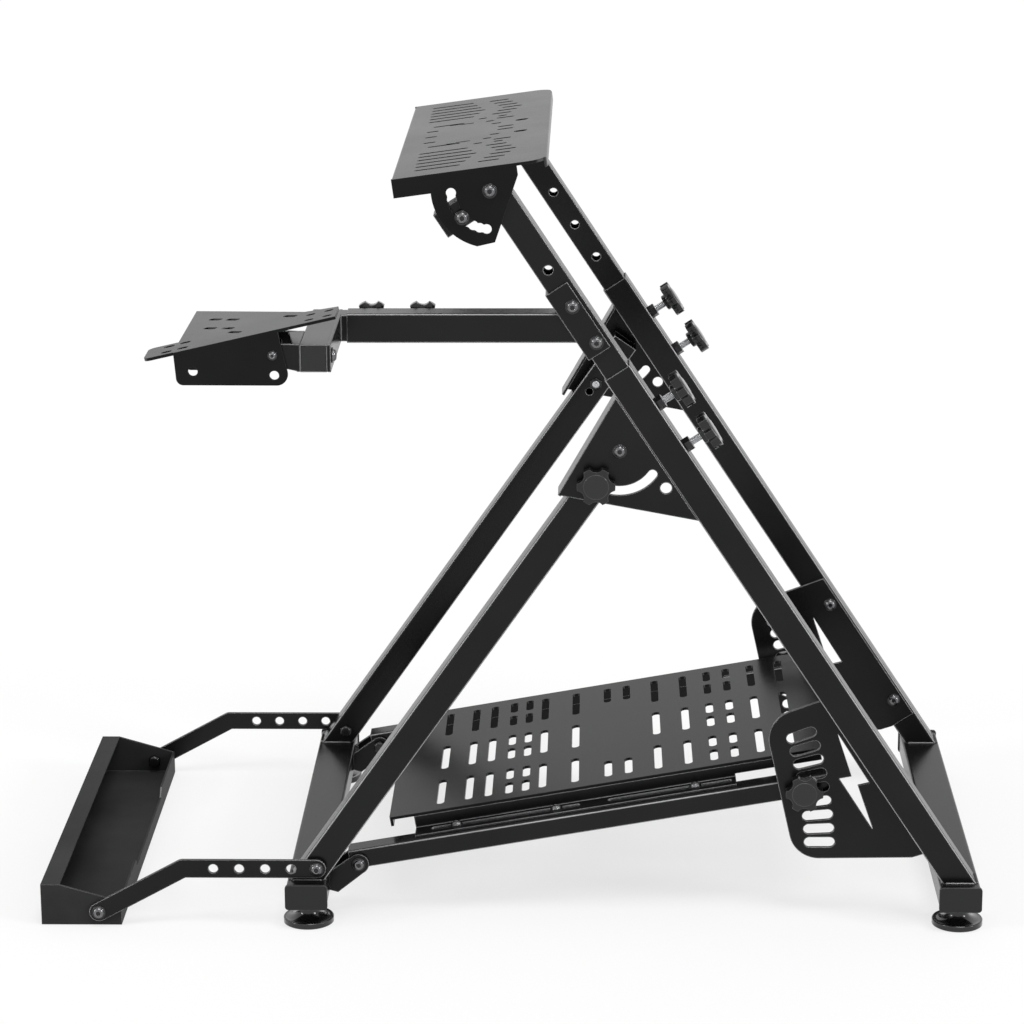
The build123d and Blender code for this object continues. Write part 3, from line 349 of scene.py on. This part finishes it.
def turned(name, rings, finish, sides=40):
    """A turned piece along +Z, from rings of (radius, height) in millimetres."""
    only()
    radius, height = rings[0]
    bpy.ops.mesh.primitive_circle_add(
        vertices=sides, radius=radius * MM, fill_type="NGON", location=(0, 0, height * MM))
    piece = bpy.context.object
    bpy.ops.object.mode_set(mode="EDIT")
    bpy.ops.mesh.select_all(action="SELECT")
    for next_radius, next_height in rings[1:]:
        bpy.ops.mesh.extrude_region_move(
            TRANSFORM_OT_translate={"value": (0, 0, (next_height - height) * MM)})
        scale = next_radius / radius
        bpy.ops.transform.resize(value=(scale, scale, 1), center_override=(0, 0, next_height * MM))
        radius, height = next_radius, next_height
    bpy.ops.mesh.select_all(action="SELECT")
    bpy.ops.mesh.normals_make_consistent(inside=False)
    bpy.ops.object.mode_set(mode="OBJECT")
    return settle(piece, name, finish)


def cut(piece, *cutters):
    """Take the cutters out of a piece, and throw them away."""
    for cutter in cutters:
        only(piece)
        tool = piece.modifiers.new("cut", "BOOLEAN")
        tool.object = cutter
        tool.solver = "EXACT"
        bpy.ops.object.modifier_apply(modifier="cut")
        bpy.data.objects.remove(cutter, do_unlink=True)


def bevel(piece, width, segments=3):
    """Round the sharp edges of a piece by so many millimetres."""
    only(piece)
    tool = piece.modifiers.new("bevel", "BEVEL")
    tool.width = width * MM
    tool.segments = segments
    tool.limit_method = "ANGLE"
    tool.angle_limit = radians(30)
    bpy.ops.object.modifier_apply(modifier="bevel")


def joined(name, *parts):
    """Several modelled parts as one, for copying."""
    only(*parts)
    bpy.ops.object.join()
    whole = bpy.context.object
    whole.name = name
    for part in parts[:-1]:
        MODELS.remove(part)
    return whole


def aimed(place, direction, scale=1.0):
    """The matrix that takes a piece modelled along +Z to a place and a direction."""
    turn = Vector(direction).to_track_quat("Z", "Y").to_matrix().to_4x4()
    return Matrix.Translation(place) @ turn @ Matrix.Scale(scale, 4)


print("lathe ready")

# %% [markdown]
# ## Putting copies on the stand
#
# A fastener is modelled once. Each copy gets a mesh of its own and its place goes into that mesh, so
# the object itself stays at the origin like the model's nodes. The copies that stand for one node
# become one object, which replaces that node and rides on the same body. Where they go is read from
# the node itself: its loose solids are told apart by walking from corner to corner along the edges.

# %% Copies that replace a node
BODY = {node: body for body, nodes in frame["record"]["behaviour"]["bodies"].items() for node in nodes}
MERGE = 1e-6


def copies(name, body, places, node=None):
    """Copies of modelled pieces at their matrices, as one object that rides on a body."""
    made = []
    for model, place in places:
        twin = model.copy()
        twin.data = model.data.copy()
        twin.data.transform(place)
        bpy.context.scene.collection.objects.link(twin)
        made.append(twin)
    only(*made)
    bpy.ops.object.join()
    piece = bpy.context.object
    piece.name = name
    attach(piece, body)
    if node:
        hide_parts(node)
    return piece


def dress(node, places):
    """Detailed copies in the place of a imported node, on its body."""
    return copies(node + "_detailed", BODY[node], places, node)


def solids(node):
    """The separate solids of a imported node, each as its lowest and highest corner in metres."""
    look = bmesh.new()
    look.from_mesh(frame["nodes"][node].data)
    bmesh.ops.remove_doubles(look, verts=look.verts, dist=MERGE)
    seen = set()
    found = []
    for start in look.verts:
        if start in seen:
            continue
        seen.add(start)
        group = [start]
        for vert in group:
            fresh = {edge.other_vert(vert) for edge in vert.link_edges} - seen
            seen |= fresh
            group += fresh
        corners = [Vector([end(vert.co[axis] for vert in group) for axis in range(3)])
                   for end in (min, max)]
        found.append(tuple(corners))
    look.free()
    return found


def side_of(low, high):
    """1 on the driver's left of the stand's middle, -1 on the right."""
    return 1 if low.y + high.y > 2 * MIDDLE_Y else -1


print(len(solids("fold_pivot_bolts")), "pivot bolts found in one node")

# %% [markdown]
# ## Button-head bolts and lock nuts
#
# The joints turn on black button-head bolts with a pressed flange and a hexagon socket. Inside the
# tubes each ends in a lock nut with a nylon collar. The head is turned, and the socket is a six-sided
# cylinder taken out of it: at this size the dark socket and the bright crown round it, partly a painted
# glint, are what makes a bolt read as a bolt. A near-black disc in the socket is painted shade: it makes
# the socket's floor dark.

# %% Bolt, nut and threaded rod
HEAD_RADIUS = 7.5
HEAD_HEIGHT = 4.5
NUT_HEIGHT = 4.9
BOLT_RADIUS = 4.0
THREAD_ROOT = 0.86


def bolt_head():
    rim = turned("bolt_rim", (
        (HEAD_RADIUS, 0), (HEAD_RADIUS, 0.8), (7.2, 1.1), (6.3, 1.3)), BOLT_STEEL, 48)
    # Painted shade: a near-black plastic disc at the bottom of the socket, where only shade would be.
    floor = turned("painted_socket_shade", ((3.4, 1.8), (3.4, 2.6)), KNOB_PLASTIC, 24)
    head = turned("bolt_crown", (
        (5.9, 1.0), (5.9, 2.0), (5.5, 2.9), (4.8, 3.7), (4.0, 4.3), (3.3, HEAD_HEIGHT)), BOLT_CROWN_WEAR_AND_GLINT, 48)
    only()
    bpy.ops.mesh.primitive_cylinder_add(
        vertices=6, radius=2.9 * MM, depth=5 * MM, location=(0, 0, (HEAD_HEIGHT + 0.2) * MM))
    cut(head, bpy.context.object)
    only(head)
    bpy.ops.object.shade_smooth_by_angle(angle=radians(35))
    return joined("bolt_head", rim, floor, head)


def lock_nut():
    only()
    bpy.ops.mesh.primitive_cylinder_add(
        vertices=6, radius=HEAD_RADIUS * MM, depth=NUT_HEIGHT * MM, location=(0, 0, NUT_HEIGHT / 2 * MM))
    body = bpy.context.object
    bevel(body, 0.5, 2)
    settle(body, "nut_body", BOLT_STEEL)
    collar = turned("nut_collar", (
        (5.6, NUT_HEIGHT - 0.4), (5.6, NUT_HEIGHT + 0.6), (5.1, NUT_HEIGHT + 1.1),
        (4.2, NUT_HEIGHT + 1.2)), KNOB_PLASTIC, 32)
    return joined("lock_nut", collar, body)


def threaded_rod(name, length, finish, radius=BOLT_RADIUS, pitch=1.25):
    """A rod whose thread is a row of small ridges."""
    root = radius * THREAD_ROOT
    rings = []
    for step in range(int(length / pitch)):
        rings += [(root, step * pitch), (radius, (step + 0.5) * pitch)]
    rings.append((root, length))
    return turned(name, rings, finish, 16)


HEAD = bolt_head()
NUT = lock_nut()
print(len(HEAD.data.polygons), "faces in a bolt head,", len(NUT.data.polygons), "in a nut")

# %% [markdown]
# ## Bolts across the stand
#
# Every pivot and clamp bolt lies across the stand, so its place and length can be read from its own
# solid in the model: the head is at the outer end, the nut at the inner one.

# %% Dress the cross bolts
ROD_END = 0.8
SPACER_GAP = 0.2


def cross_bolt(low, high, side):
    """Parts of one bolt along Y: head, rod and nut, at the size of its solid."""
    x, z = (low.x + high.x) / 2, (low.z + high.z) / 2
    scale = (high.x - low.x) / 2 / (HEAD_RADIUS * MM)
    outer, inner = (high.y, low.y) if side > 0 else (low.y, high.y)
    seat = outer - side * HEAD_HEIGHT * MM * scale
    nut_seat = inner + side * NUT_HEIGHT * MM * scale
    rod = threaded_rod("rod", (abs(seat - inner) / MM + ROD_END) / scale, BOLT_STEEL)
    return [(HEAD, aimed((x, seat, z), (0, side, 0), scale)),
            (NUT, aimed((x, nut_seat, z), (0, -side, 0), scale)),
            (rod, aimed((x, seat, z), (0, -side, 0), scale))]


def cross_bolts(node, extra=()):
    places = list(extra)
    for low, high in solids(node):
        places += cross_bolt(low, high, side_of(low, high))
    return dress(node, places)


def bar_spacers():
    """Collars between the support tubes and the stop bars."""
    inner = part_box("left_support_tube")[1].y
    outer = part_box("left_stop_bar")[0].y
    length = (outer - inner) / MM - 2 * SPACER_GAP
    collar = turned("spacer", ((HEAD_RADIUS, 0), (HEAD_RADIUS, length)), BOLT_STEEL)
    places = []
    for low, high in solids("stop_bar_bolts"):
        side = side_of(low, high)
        start = MIDDLE_Y + side * (inner - MIDDLE_Y + SPACER_GAP * MM)
        places.append((collar, aimed(((low.x + high.x) / 2, start, (low.z + high.z) / 2), (0, side, 0))))
    return places


for node in ("fold_pivot_bolts", "pedal_hinge_bolts", "tray_bolts", "wheel_pivot_bolts",
             "wheel_clamp_bolts", "bracket_bolts", "shifter_pivot_bolt"):
    cross_bolts(node)
cross_bolts("stop_bar_bolts", bar_spacers())

stub_low, stub_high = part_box("stub_bolt")
stub_axis = ((stub_low.y + stub_high.y) / 2, (stub_low.z + stub_high.z) / 2)
stub_seat = Vector((stub_high.x - HEAD_HEIGHT * MM, *stub_axis))
stub_rod = threaded_rod("rod", (stub_seat.x - stub_low.x) / MM, BOLT_STEEL)
dress("stub_bolt", [
    (HEAD, aimed(stub_seat, (1, 0, 0))), (stub_rod, aimed(stub_seat, (-1, 0, 0)))])
print("cross bolts dressed")

# %% [markdown]
# ## Slots that are cut again
#
# The model's rails, plates and tubes are right in size, but a few small openings show in the
# photograph that the model leaves out: the long slots in the pedal rails, the short broad slots at the
# front of the wheel plate, and the round holes beside the clamp studs in the support tubes. A copy of
# each node is merged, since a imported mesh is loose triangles, and the slots are taken out of it. That
# leaves flat faces, so its normals are worked out afresh.
# A slot cutter is a cylinder with one half of it pulled away from the other. Slots on the tilted
# pedal frame and wheel deck are given along and across them, from a frame that tilts as they do.

# %% Cut the small openings
def slot_cutter(place, length, width, depth):
    """A long round-ended cutter, centred on a place (a matrix), along its X."""
    only()
    bpy.ops.mesh.primitive_cylinder_add(vertices=32, radius=width / 2 * MM, depth=depth * MM)
    piece = bpy.context.object
    pull = max(length - width, 0.0) * MM
    bpy.ops.object.mode_set(mode="EDIT")
    bpy.ops.mesh.select_mode(type="VERT")
    bpy.ops.mesh.select_all(action="DESELECT")
    bpy.ops.object.mode_set(mode="OBJECT")
    for vert in piece.data.vertices:
        vert.select = vert.co.x > MERGE
    bpy.ops.object.mode_set(mode="EDIT")
    bpy.ops.transform.translate(value=(pull, 0, 0))
    bpy.ops.object.mode_set(mode="OBJECT")
    piece.data.transform(place @ Matrix.Translation((-pull / 2, 0, 0)))
    return piece


def recut(node, cutters):
    """A merged copy of a node with the cutters taken out, in the node's place."""
    piece = frame["nodes"][node].copy()
    piece.data = frame["nodes"][node].data.copy()
    bpy.context.scene.collection.objects.link(piece)
    piece.name = node + "_slotted"
    only(piece)
    bpy.ops.object.mode_set(mode="EDIT")
    bpy.ops.mesh.select_all(action="SELECT")
    bpy.ops.mesh.remove_doubles(threshold=MERGE)
    bpy.ops.object.mode_set(mode="OBJECT")
    cut(piece, *cutters)
    only(piece)
    bpy.ops.mesh.customdata_custom_splitnormals_clear()
    bpy.ops.object.shade_smooth_by_angle(angle=radians(20))
    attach(piece, BODY[node])
    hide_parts(node)
    return piece


def tilted(origin, angle):
    """A frame at a place of the stand, tilted up to the front by an angle in degrees."""
    return Matrix.Translation(at(*origin)) @ Matrix.Rotation(radians(-angle), 4, "Y")


PEDAL_HINGE = (-288.5, 0, 56.5)
PEDAL_ANGLE = 9.9
PEDAL_FRAME = tilted(PEDAL_HINGE, PEDAL_ANGLE)
RAIL_LINE = 176.0
RAIL_SLOTS = ((160.0, 160.0), (336.0, 133.0))
RAIL_TOP = 16.7
SLOT_WIDTH = 8.0
CUT_DEPTH = 8.0
rail_cuts = []
for side in (-1, 1):
    for middle, length in RAIL_SLOTS:
        spot = Matrix.Translation(Vector((middle, side * RAIL_LINE, RAIL_TOP)) * MM)
        rail_cuts.append(slot_cutter(PEDAL_FRAME @ spot, length, SLOT_WIDTH, 3.0))
recut("pedal_rails", rail_cuts)

WHEEL_PIVOT = (-144.0, 0, 780.4)
WHEEL_ANGLE = 7.7
DECK_CORNER = Vector((-95.2, 0, 24.3))
WHEEL_DECK = tilted(WHEEL_PIVOT, WHEEL_ANGLE) @ Matrix.Translation(DECK_CORNER * MM)
BROAD_SLOTS = ((125.0, 38.0, 14.0, 9.0), (52.0, 64.0, 12.0, 8.0), (65.0, 59.0, 16.0, 4.0))
deck_cuts = []
for side in (-1, 1):
    for along, beside, length, width in BROAD_SLOTS:
        spot = Matrix.Translation(Vector((along, side * beside, 0)) * MM)
        deck_cuts.append(slot_cutter(WHEEL_DECK @ spot, length, width, CUT_DEPTH))
recut("wheel_plate", deck_cuts)

STUD_HOLE = (-46.0, 472.1)
crosswise = Matrix.Rotation(pi / 2, 4, "X")
for node, side in (("right_support_tube", -1), ("left_support_tube", 1)):
    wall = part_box(node)[1 if side < 0 else 0].y / MM - MIDDLE_Y / MM
    hole = Matrix.Translation(at(STUD_HOLE[0], wall, STUD_HOLE[1])) @ crosswise
    recut(node, [slot_cutter(hole, SLOT_WIDTH, SLOT_WIDTH, CUT_DEPTH)])
print(len(rail_cuts), "slots in the rails,", len(deck_cuts), "in the wheel plate")

# %% [markdown]
# ## Bolts that only the photograph shows
#
# Round-headed bolts stand in the rails' slots and hold the rails to the pedal tubes, and two button
# heads on the inner face of each side plate hold it to its main tube. They ride on the bodies that
# they hold together.

# %% Rail bolts and side plate bolts
RAIL_BOLTS = (107.5, 214.5, 363.0)
RAIL_BOLT_SCALE = 0.85
rail_up = PEDAL_FRAME.to_3x3() @ Vector((0, 0, 1))
places = []
for side in (-1, 1):
    for along in RAIL_BOLTS:
        spot = PEDAL_FRAME @ (Vector((along, side * RAIL_LINE, RAIL_TOP)) * MM)
        places.append((HEAD, aimed(spot, rail_up, RAIL_BOLT_SCALE)))
copies("rail_bolts", "pedal_frame", places)

SIDE_PLATE_BOLTS = ((231.5, 219.8), (307.5, 104.3))
plate_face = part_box("left_side_plate")[0].y / MM - MIDDLE_Y / MM
places = []
for side in (-1, 1):
    for x, z in SIDE_PLATE_BOLTS:
        places.append((HEAD, aimed(at(x, side * plate_face, z), (0, -side, 0))))
copies("side_plate_bolts", "main_frame", places)
print("extra bolts set")

# %% [markdown]
# ## An end cap
#
# The cross stub of the shifter's slide is an open tube in the model, and one would look into it. A
# pressed plastic plug closes it. A flat face would do from afar, but a bevelled block, a little
# smaller than the tube's bore, leaves the thin dark seam that a real plug has.

# %% Plug in the slide's stub
STUB_WALL = 1.2
PLUG_DEPTH = 6.0
PLUG_GAP = 0.3
slide_low, slide_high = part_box("shifter_slide")
stub_side = slide_high.z - slide_low.z
plug_side = stub_side - (2 * STUB_WALL + PLUG_GAP) * MM
only()
bpy.ops.mesh.primitive_cube_add(size=1, location=(
    slide_low.x + stub_side / 2, slide_low.y + (PLUG_DEPTH / 2 + PLUG_GAP) * MM,
    (slide_low.z + slide_high.z) / 2))
plug = bpy.context.object
plug.scale = (plug_side, PLUG_DEPTH * MM, plug_side)
bpy.ops.object.transform_apply(location=False, rotation=False, scale=True)
bevel(plug, 0.8, 3)
settle(plug, "plug", KNOB_PLASTIC)
copies("stub_plug", "shifter_carrier", [(plug, Matrix())])
print("plug", round(plug_side / MM, 1), "mm square")

# %% [markdown]
# ## Star knobs
#
# The clamps are worked by moulded star knobs with six rounded lobes, a domed glossy cap and a short
# boss. A star could be drawn as an outline, but a moulder would think of it as a thick disc with six
# scallops, and that is easy to copy: one cylinder is set at each hollow and taken away, then the
# sharp rims are bevelled soft. The stud in it is zinc plated, with its thread showing.

# %% One star knob
KNOB_RADIUS = 19.5
KNOB_HEIGHT = 11.0
KNOB_LOBES = 6
BOSS_HEIGHT = 5.0
SCALLOP_RADIUS = 8.0
SCALLOP_REACH = 23.3
CAP_RISE = 1.4


def star_knob():
    """A knob whose star stands on z = 0, with its boss below."""
    thick = KNOB_HEIGHT - CAP_RISE
    only()
    bpy.ops.mesh.primitive_cylinder_add(
        vertices=96, radius=KNOB_RADIUS * MM, depth=thick * MM, location=(0, 0, thick / 2 * MM))
    star = bpy.context.object
    scallops = []
    for lobe in range(KNOB_LOBES):
        angle = 2 * pi * (lobe + 0.5) / KNOB_LOBES
        only()
        bpy.ops.mesh.primitive_cylinder_add(
            vertices=48, radius=SCALLOP_RADIUS * MM, depth=2 * thick * MM,
            location=(SCALLOP_REACH * MM * cos(angle), SCALLOP_REACH * MM * sin(angle), thick / 2 * MM))
        scallops.append(bpy.context.object)
    cut(star, *scallops)
    bevel(star, 1.4, 2)
    settle(star, "star", KNOB_PLASTIC, 40)
    cap = turned("knob_cap", (
        (12.6, thick - 1.5), (12.6, thick + 0.1), (12.1, thick + 0.5), (10.5, thick + 0.9),
        (7.5, thick + 1.2), (3.5, KNOB_HEIGHT - 0.05), (0.4, KNOB_HEIGHT)), CAP_GLOSS)
    boss = turned("knob_boss", (
        (6.2, -BOSS_HEIGHT), (8.4, -BOSS_HEIGHT), (9.0, -BOSS_HEIGHT + 0.8), (9.0, 0.6)), KNOB_PLASTIC)
    return joined("star_knob", cap, boss, star)


STAR = star_knob()
print(len(STAR.data.polygons), "faces in a star knob")

# %% [markdown]
# ## Knobs on the stand
#
# Two knobs on each main tube hold the telescoping mast, one on each side holds the folding support,
# one holds the pedal frame, and two hold the shifter slide. The mast knobs stand square to the
# leaning tube, so their places are worked out along it: so far up from the beam, and so far ahead.
# The others lie across the stand and are read from their solids. A stud is modelled once for each
# length, and the fold clamps' studs show their ends on the far side of the tube, in a nut.

# %% Dress the knobs
TUBE = 30.0
LEAN = radians(33.3)
BEAM_TOP = front_high.z / MM
TUBE_PLANE = (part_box("left_main_tube")[0].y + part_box("left_main_tube")[1].y) / 2 / MM - MIDDLE_Y / MM
HEIGHT_KNOBS = (600.5, 548.9)
WELD_NUT_HEIGHT = 7.0
BARE_STUD = 12.0
STUD_IN_TUBE = 1.2
STUD_TIP = 1.0
STUDS = {}


def main_point(along, behind, y):
    """A place beside a main tube: so far up it from the beam, and so far behind its axis."""
    x = HALF_SPREAD - along * sin(LEAN) - behind * cos(LEAN)
    return at(x, y, BEAM_TOP + along * cos(LEAN) - behind * sin(LEAN))


def knob_parts(place, direction, reach):
    """A knob whose star stands at a place, and the stud that reaches back from it past its boss."""
    parts = [(STAR, aimed(place, direction))]
    if reach > BOSS_HEIGHT:
        if reach not in STUDS:
            STUDS[reach] = threaded_rod("stud", reach, STUD_ZINC)
        parts.append((STUDS[reach], aimed(place, -Vector(direction))))
    return parts


height_reach = BOSS_HEIGHT + BARE_STUD + WELD_NUT_HEIGHT + STUD_IN_TUBE
height_axis = Vector((cos(LEAN), 0, sin(LEAN)))
places = []
for side in (-1, 1):
    for along in HEIGHT_KNOBS:
        seat = main_point(along, -TUBE / 2, side * TUBE_PLANE)
        star_base = seat + height_axis * (WELD_NUT_HEIGHT + BARE_STUD + BOSS_HEIGHT) * MM
        places += knob_parts(star_base, height_axis, height_reach)
dress("height_knobs", places)


def side_knobs(node, out=None):
    """Knobs along Y, read from their solids; out is their direction, or outwards if not given."""
    places = []
    for low, high in solids(node):
        side = out or side_of(low, high)
        outer, inner = (high.y, low.y) if side > 0 else (low.y, high.y)
        base = Vector(((low.x + high.x) / 2, outer - side * KNOB_HEIGHT * MM, (low.z + high.z) / 2))
        reach = round(abs(base.y - inner) / MM - STUD_TIP, 2)
        places += knob_parts(base, Vector((0, side, 0)), reach)
    return places


dress("pedal_clamp_knobs", side_knobs("pedal_clamp_knobs"))
dress("shifter_arm_knobs", side_knobs("shifter_arm_knobs", 1))

STUD_END = joined("stud_end", turned("stud_tip", ((4.0, 0), (4.0, 4.1), (3.3, HEAD_HEIGHT)), STUD_ZINC),
                  turned("stud_nut", ((7.4, 0), (7.4, 2.9), (6.4, 3.5), (4.0, 3.5)), BOLT_STEEL, 6))
places = side_knobs("fold_clamp_knobs")
for low, high in solids("fold_clamp_knobs"):
    side = side_of(low, high)
    inner = low.y if side > 0 else high.y
    seat = Vector(((low.x + high.x) / 2, inner + side * HEAD_HEIGHT * MM, (low.z + high.z) / 2))
    places.append((STUD_END, aimed(seat, (0, -side, 0))))
dress("fold_clamp_knobs", places)
print(len(STUDS), "stud lengths")

# %% [markdown]
# ## Levelling feet
#
# Each foot is a moulded disc with a thin rim, a dished top that flares up into a hub, and a threaded
# stem into the beam. It is a turned piece through and through, so the rings of the lathe are all it
# needs, with the flare cut into enough of them to look round.

# %% Feet
foot_low, foot_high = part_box("front_levelling_feet")
FOOT_RADIUS = (foot_high.x - foot_low.x) / 2 / MM
DISH_RADIUS = FOOT_RADIUS - 1.6
DISH_FOOT = 6.6
HUB_TOP = 18.0
HUB_RADIUS = 11.2
FLARE_STEPS = 9
STEM_IN_BEAM = 12.0


def flare(share):
    """Ring of the foot's dished top, from the rim at 0 to the hub at 1."""
    radius = DISH_RADIUS + (HUB_RADIUS - DISH_RADIUS) * (1 - (1 - share) ** 2.2)
    return radius, DISH_FOOT + (HUB_TOP - 1.2 - DISH_FOOT) * share ** 1.7


foot_rings = [(FOOT_RADIUS - 1.2, 0), (FOOT_RADIUS, 0.8), (FOOT_RADIUS, 5.8), (FOOT_RADIUS - 0.5, 6.5),
              (FOOT_RADIUS - 1.1, 6.8)]
foot_rings += [flare(step / FLARE_STEPS) for step in range(FLARE_STEPS + 1)]
foot_rings += [(HUB_RADIUS - 0.3, HUB_TOP - 0.3), (HUB_RADIUS - 1.0, HUB_TOP), (5.0, HUB_TOP)]
FOOT = turned("foot", foot_rings, FOOT_PLASTIC, 64)
STEM = threaded_rod("stem", front_low.z / MM - HUB_TOP + STEM_IN_BEAM, STUD_ZINC)
for node in ("front_levelling_feet", "rear_levelling_feet"):
    places = []
    for low, high in solids(node):
        middle = Vector(((low.x + high.x) / 2, (low.y + high.y) / 2, 0))
        places.append((FOOT, Matrix.Translation(middle)))
        places.append((STEM, Matrix.Translation(middle + Vector((0, 0, (HUB_TOP - 0.5) * MM)))))
    dress(node, places)
print("foot radius", round(FOOT_RADIUS, 1), "mm")

# %% [markdown]
# ## Welds
#
# The tubes are welded to the foot beams and the gussets to the tubes. A weld bead is a row of
# overlapping ripples. It is a turned piece too, wavy along its length, laid on its side in the corner
# and sunk by half into it, and coated with the same powder as the tubes. Round a tube's foot go four
# beads. A leaning tube meets the beam in a longer rectangle than its own section: half its width is
# divided by the cosine of its lean.

# %% Beads at the beams and gussets
BEAD_RADIUS = 1.9
RIPPLE = 2.3
BEAD_INSET = 2.0
SIDE_BEAD_INSET = 3.0


def bead(start, end):
    """A weld bead between two places, and the matrix that lays it there."""
    length = (end - start).length / MM
    count = max(2, round(length / RIPPLE))
    step = length / count
    rings = [(BEAD_RADIUS * 0.4, 0)]
    for ripple in range(count):
        rings.append((BEAD_RADIUS, (ripple + 0.45) * step))
        rings.append((BEAD_RADIUS * 0.8, (ripple + 0.9) * step))
    rings.append((BEAD_RADIUS * 0.4, length))
    return turned("bead", rings, COAT, 10), aimed(start, end - start)


def foot_beads(x, y, upright, level):
    """Beads round the foot of a square tube on a beam; upright is the cosine of the tube's lean."""
    half = TUBE / 2
    reach = half / upright
    beads = []
    for end in (-1, 1):
        beads.append(bead(at(x + end * reach, y + end * (half - BEAD_INSET), level),
                          at(x + end * reach, y - end * (half - BEAD_INSET), level)))
    for side in (-1, 1):
        beads.append(bead(at(x + side * (reach - SIDE_BEAD_INSET), y + side * half, level),
                          at(x - side * (reach - SIDE_BEAD_INSET), y + side * half, level)))
    return beads


support_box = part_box("left_support_tube")
SUPPORT_PLANE = (support_box[0].y + support_box[1].y) / 2 / MM - MIDDLE_Y / MM
SUPPORT_RISE = radians(55.0)
places = []
for side in (-1, 1):
    places += foot_beads(HALF_SPREAD, side * TUBE_PLANE, cos(LEAN), BEAM_TOP)
copies("main_tube_welds", "main_frame", places)
places = []
for side in (-1, 1):
    places += foot_beads(-HALF_SPREAD, side * SUPPORT_PLANE, sin(SUPPORT_RISE), BEAM_TOP)
copies("support_tube_welds", "support_frame", places)

GUSSET_STITCHES = (490.0, 545.0, 600.0)
STITCH = 24.0
GUSSET_SHEET = 3.0
places = []
for side in (-1, 1):
    seam = side * (TUBE_PLANE + TUBE / 2 - GUSSET_SHEET)
    for along in GUSSET_STITCHES:
        places.append(bead(main_point(along, TUBE / 2, seam), main_point(along + STITCH, TUBE / 2, seam)))
copies("gusset_welds", "main_frame", places)
print("welds laid")

# %% [markdown]
# ## The studio
#
# The stand is shown on white. The world is white to the camera and to reflections, but only half as
# strong as light, so that black stays black. One sun stands high in front and one low at each side,
# as softboxes would: their glints run along the rounded corners of the tubes. The floor is pale
# paper. To the camera and to reflections it is mostly white light, so it ends without a horizon and
# still keeps the shadow.

# %% World, floor and lamps
WORLD_LIGHT = 0.55
FLOOR_SIZE = 60.0
FLOOR_GLOW = 0.7


def studio_world():
    world = bpy.data.worlds.new("studio")
    bpy.context.scene.world = world
    sky = Finish(world)
    lighting, backdrop = (
        sky.node("ShaderNodeBackground", {}, {"Color": (1, 1, 1, 1), "Strength": strength})
        for strength in (WORLD_LIGHT, 1.0))
    both = sky.node("ShaderNodeMixShader", {}, {0: sky.in_view(), 1: lighting, 2: backdrop})
    sky.node("ShaderNodeOutputWorld", {}, {"Surface": both})


def pale_floor():
    only()
    bpy.ops.mesh.primitive_plane_add(size=FLOOR_SIZE, location=(0.0, FLOOR_SIZE / 3, 0.0))
    floor = bpy.context.object
    floor.name = "studio_floor"
    paper = Finish(bpy.data.materials.new("pale_floor"))
    soft = paper.noise(1.2, 2.0)
    sheet = paper.node("ShaderNodeBsdfPrincipled", {}, {
        "Base Color": paper.blend_colour(soft, (0.95, 0.95, 0.95, 1), (0.97, 0.97, 0.97, 1)),
        "Roughness": 1.0, "Specular IOR Level": 0.0})
    white = paper.node("ShaderNodeEmission", {}, {"Color": (1, 1, 1, 1), "Strength": 1.0})
    both = paper.node("ShaderNodeMixShader", {}, {0: paper.in_view() * FLOOR_GLOW, 1: sheet, 2: white})
    paper.node("ShaderNodeOutputMaterial", {}, {"Surface": both})
    floor.data.materials.append(paper.owner)
    return floor


def sun(name, strength, spread, towards):
    """A sun so many degrees wide; towards is the direction in which it stands."""
    lamp = bpy.data.lights.new(name, "SUN")
    lamp.energy = strength
    lamp.angle = radians(spread)
    holder = bpy.data.objects.new(name, lamp)
    holder.rotation_euler = Vector(towards).to_track_quat("Z", "Y").to_euler()
    bpy.context.scene.collection.objects.link(holder)


studio_world()
pale_floor()
sun("top_sun", 1.1, 25, (0.15, -0.3, 0.94))
sun("front_side_sun", 0.9, 12, (0.85, -0.35, 0.38))
sun("rear_side_sun", 0.7, 12, (-0.85, -0.35, 0.38))
print("studio set")

# %% [markdown]
# ## The camera
#
# The view is the photograph's: from the driver's right, a little above the wheel plate, with a long
# lens. Its place and turn come from the stand's own feet and beams, so they are given in the
# stand's millimetres. The lens is a focal length in image widths times the width of the sensor. A
# camera looks along its own -Z, so its matrix is made of where its right, its up and its back point.

# %% Camera
SENSOR = 36.0
FOCAL_WIDTHS = 3400.0 / 1024.0
YAW, PITCH, ROLL = radians(-1.42), radians(15.42), radians(-0.31)
CAMERA_PLACE = (-41.5, -3555.5, 1367.1)
ahead = Vector((sin(YAW) * cos(PITCH), cos(YAW) * cos(PITCH), -sin(PITCH)))
level_right = Vector((cos(YAW), -sin(YAW), 0.0))
level_up = level_right.cross(ahead)
right = level_right * cos(ROLL) + level_up * sin(ROLL)
up = level_up * cos(ROLL) - level_right * sin(ROLL)
lens = bpy.data.cameras.new("studio_camera")
lens.sensor_width = SENSOR
lens.lens = SENSOR * FOCAL_WIDTHS
lens.clip_end = 100.0
camera = bpy.data.objects.new("studio_camera", lens)
bpy.context.scene.collection.objects.link(camera)
turn = Matrix((right, up, -ahead)).transposed().to_4x4()
camera.matrix_world = Matrix.Translation(at(*CAMERA_PLACE)) @ turn
bpy.context.scene.camera = camera
bpy.context.scene.view_settings.view_transform = "Standard"
print("lens", round(lens.lens, 1), "mm")

# %% Clearing away the modelled originals
for model in MODELS:
    bpy.data.objects.remove(model, do_unlink=True)
bpy.context.view_layer.update()
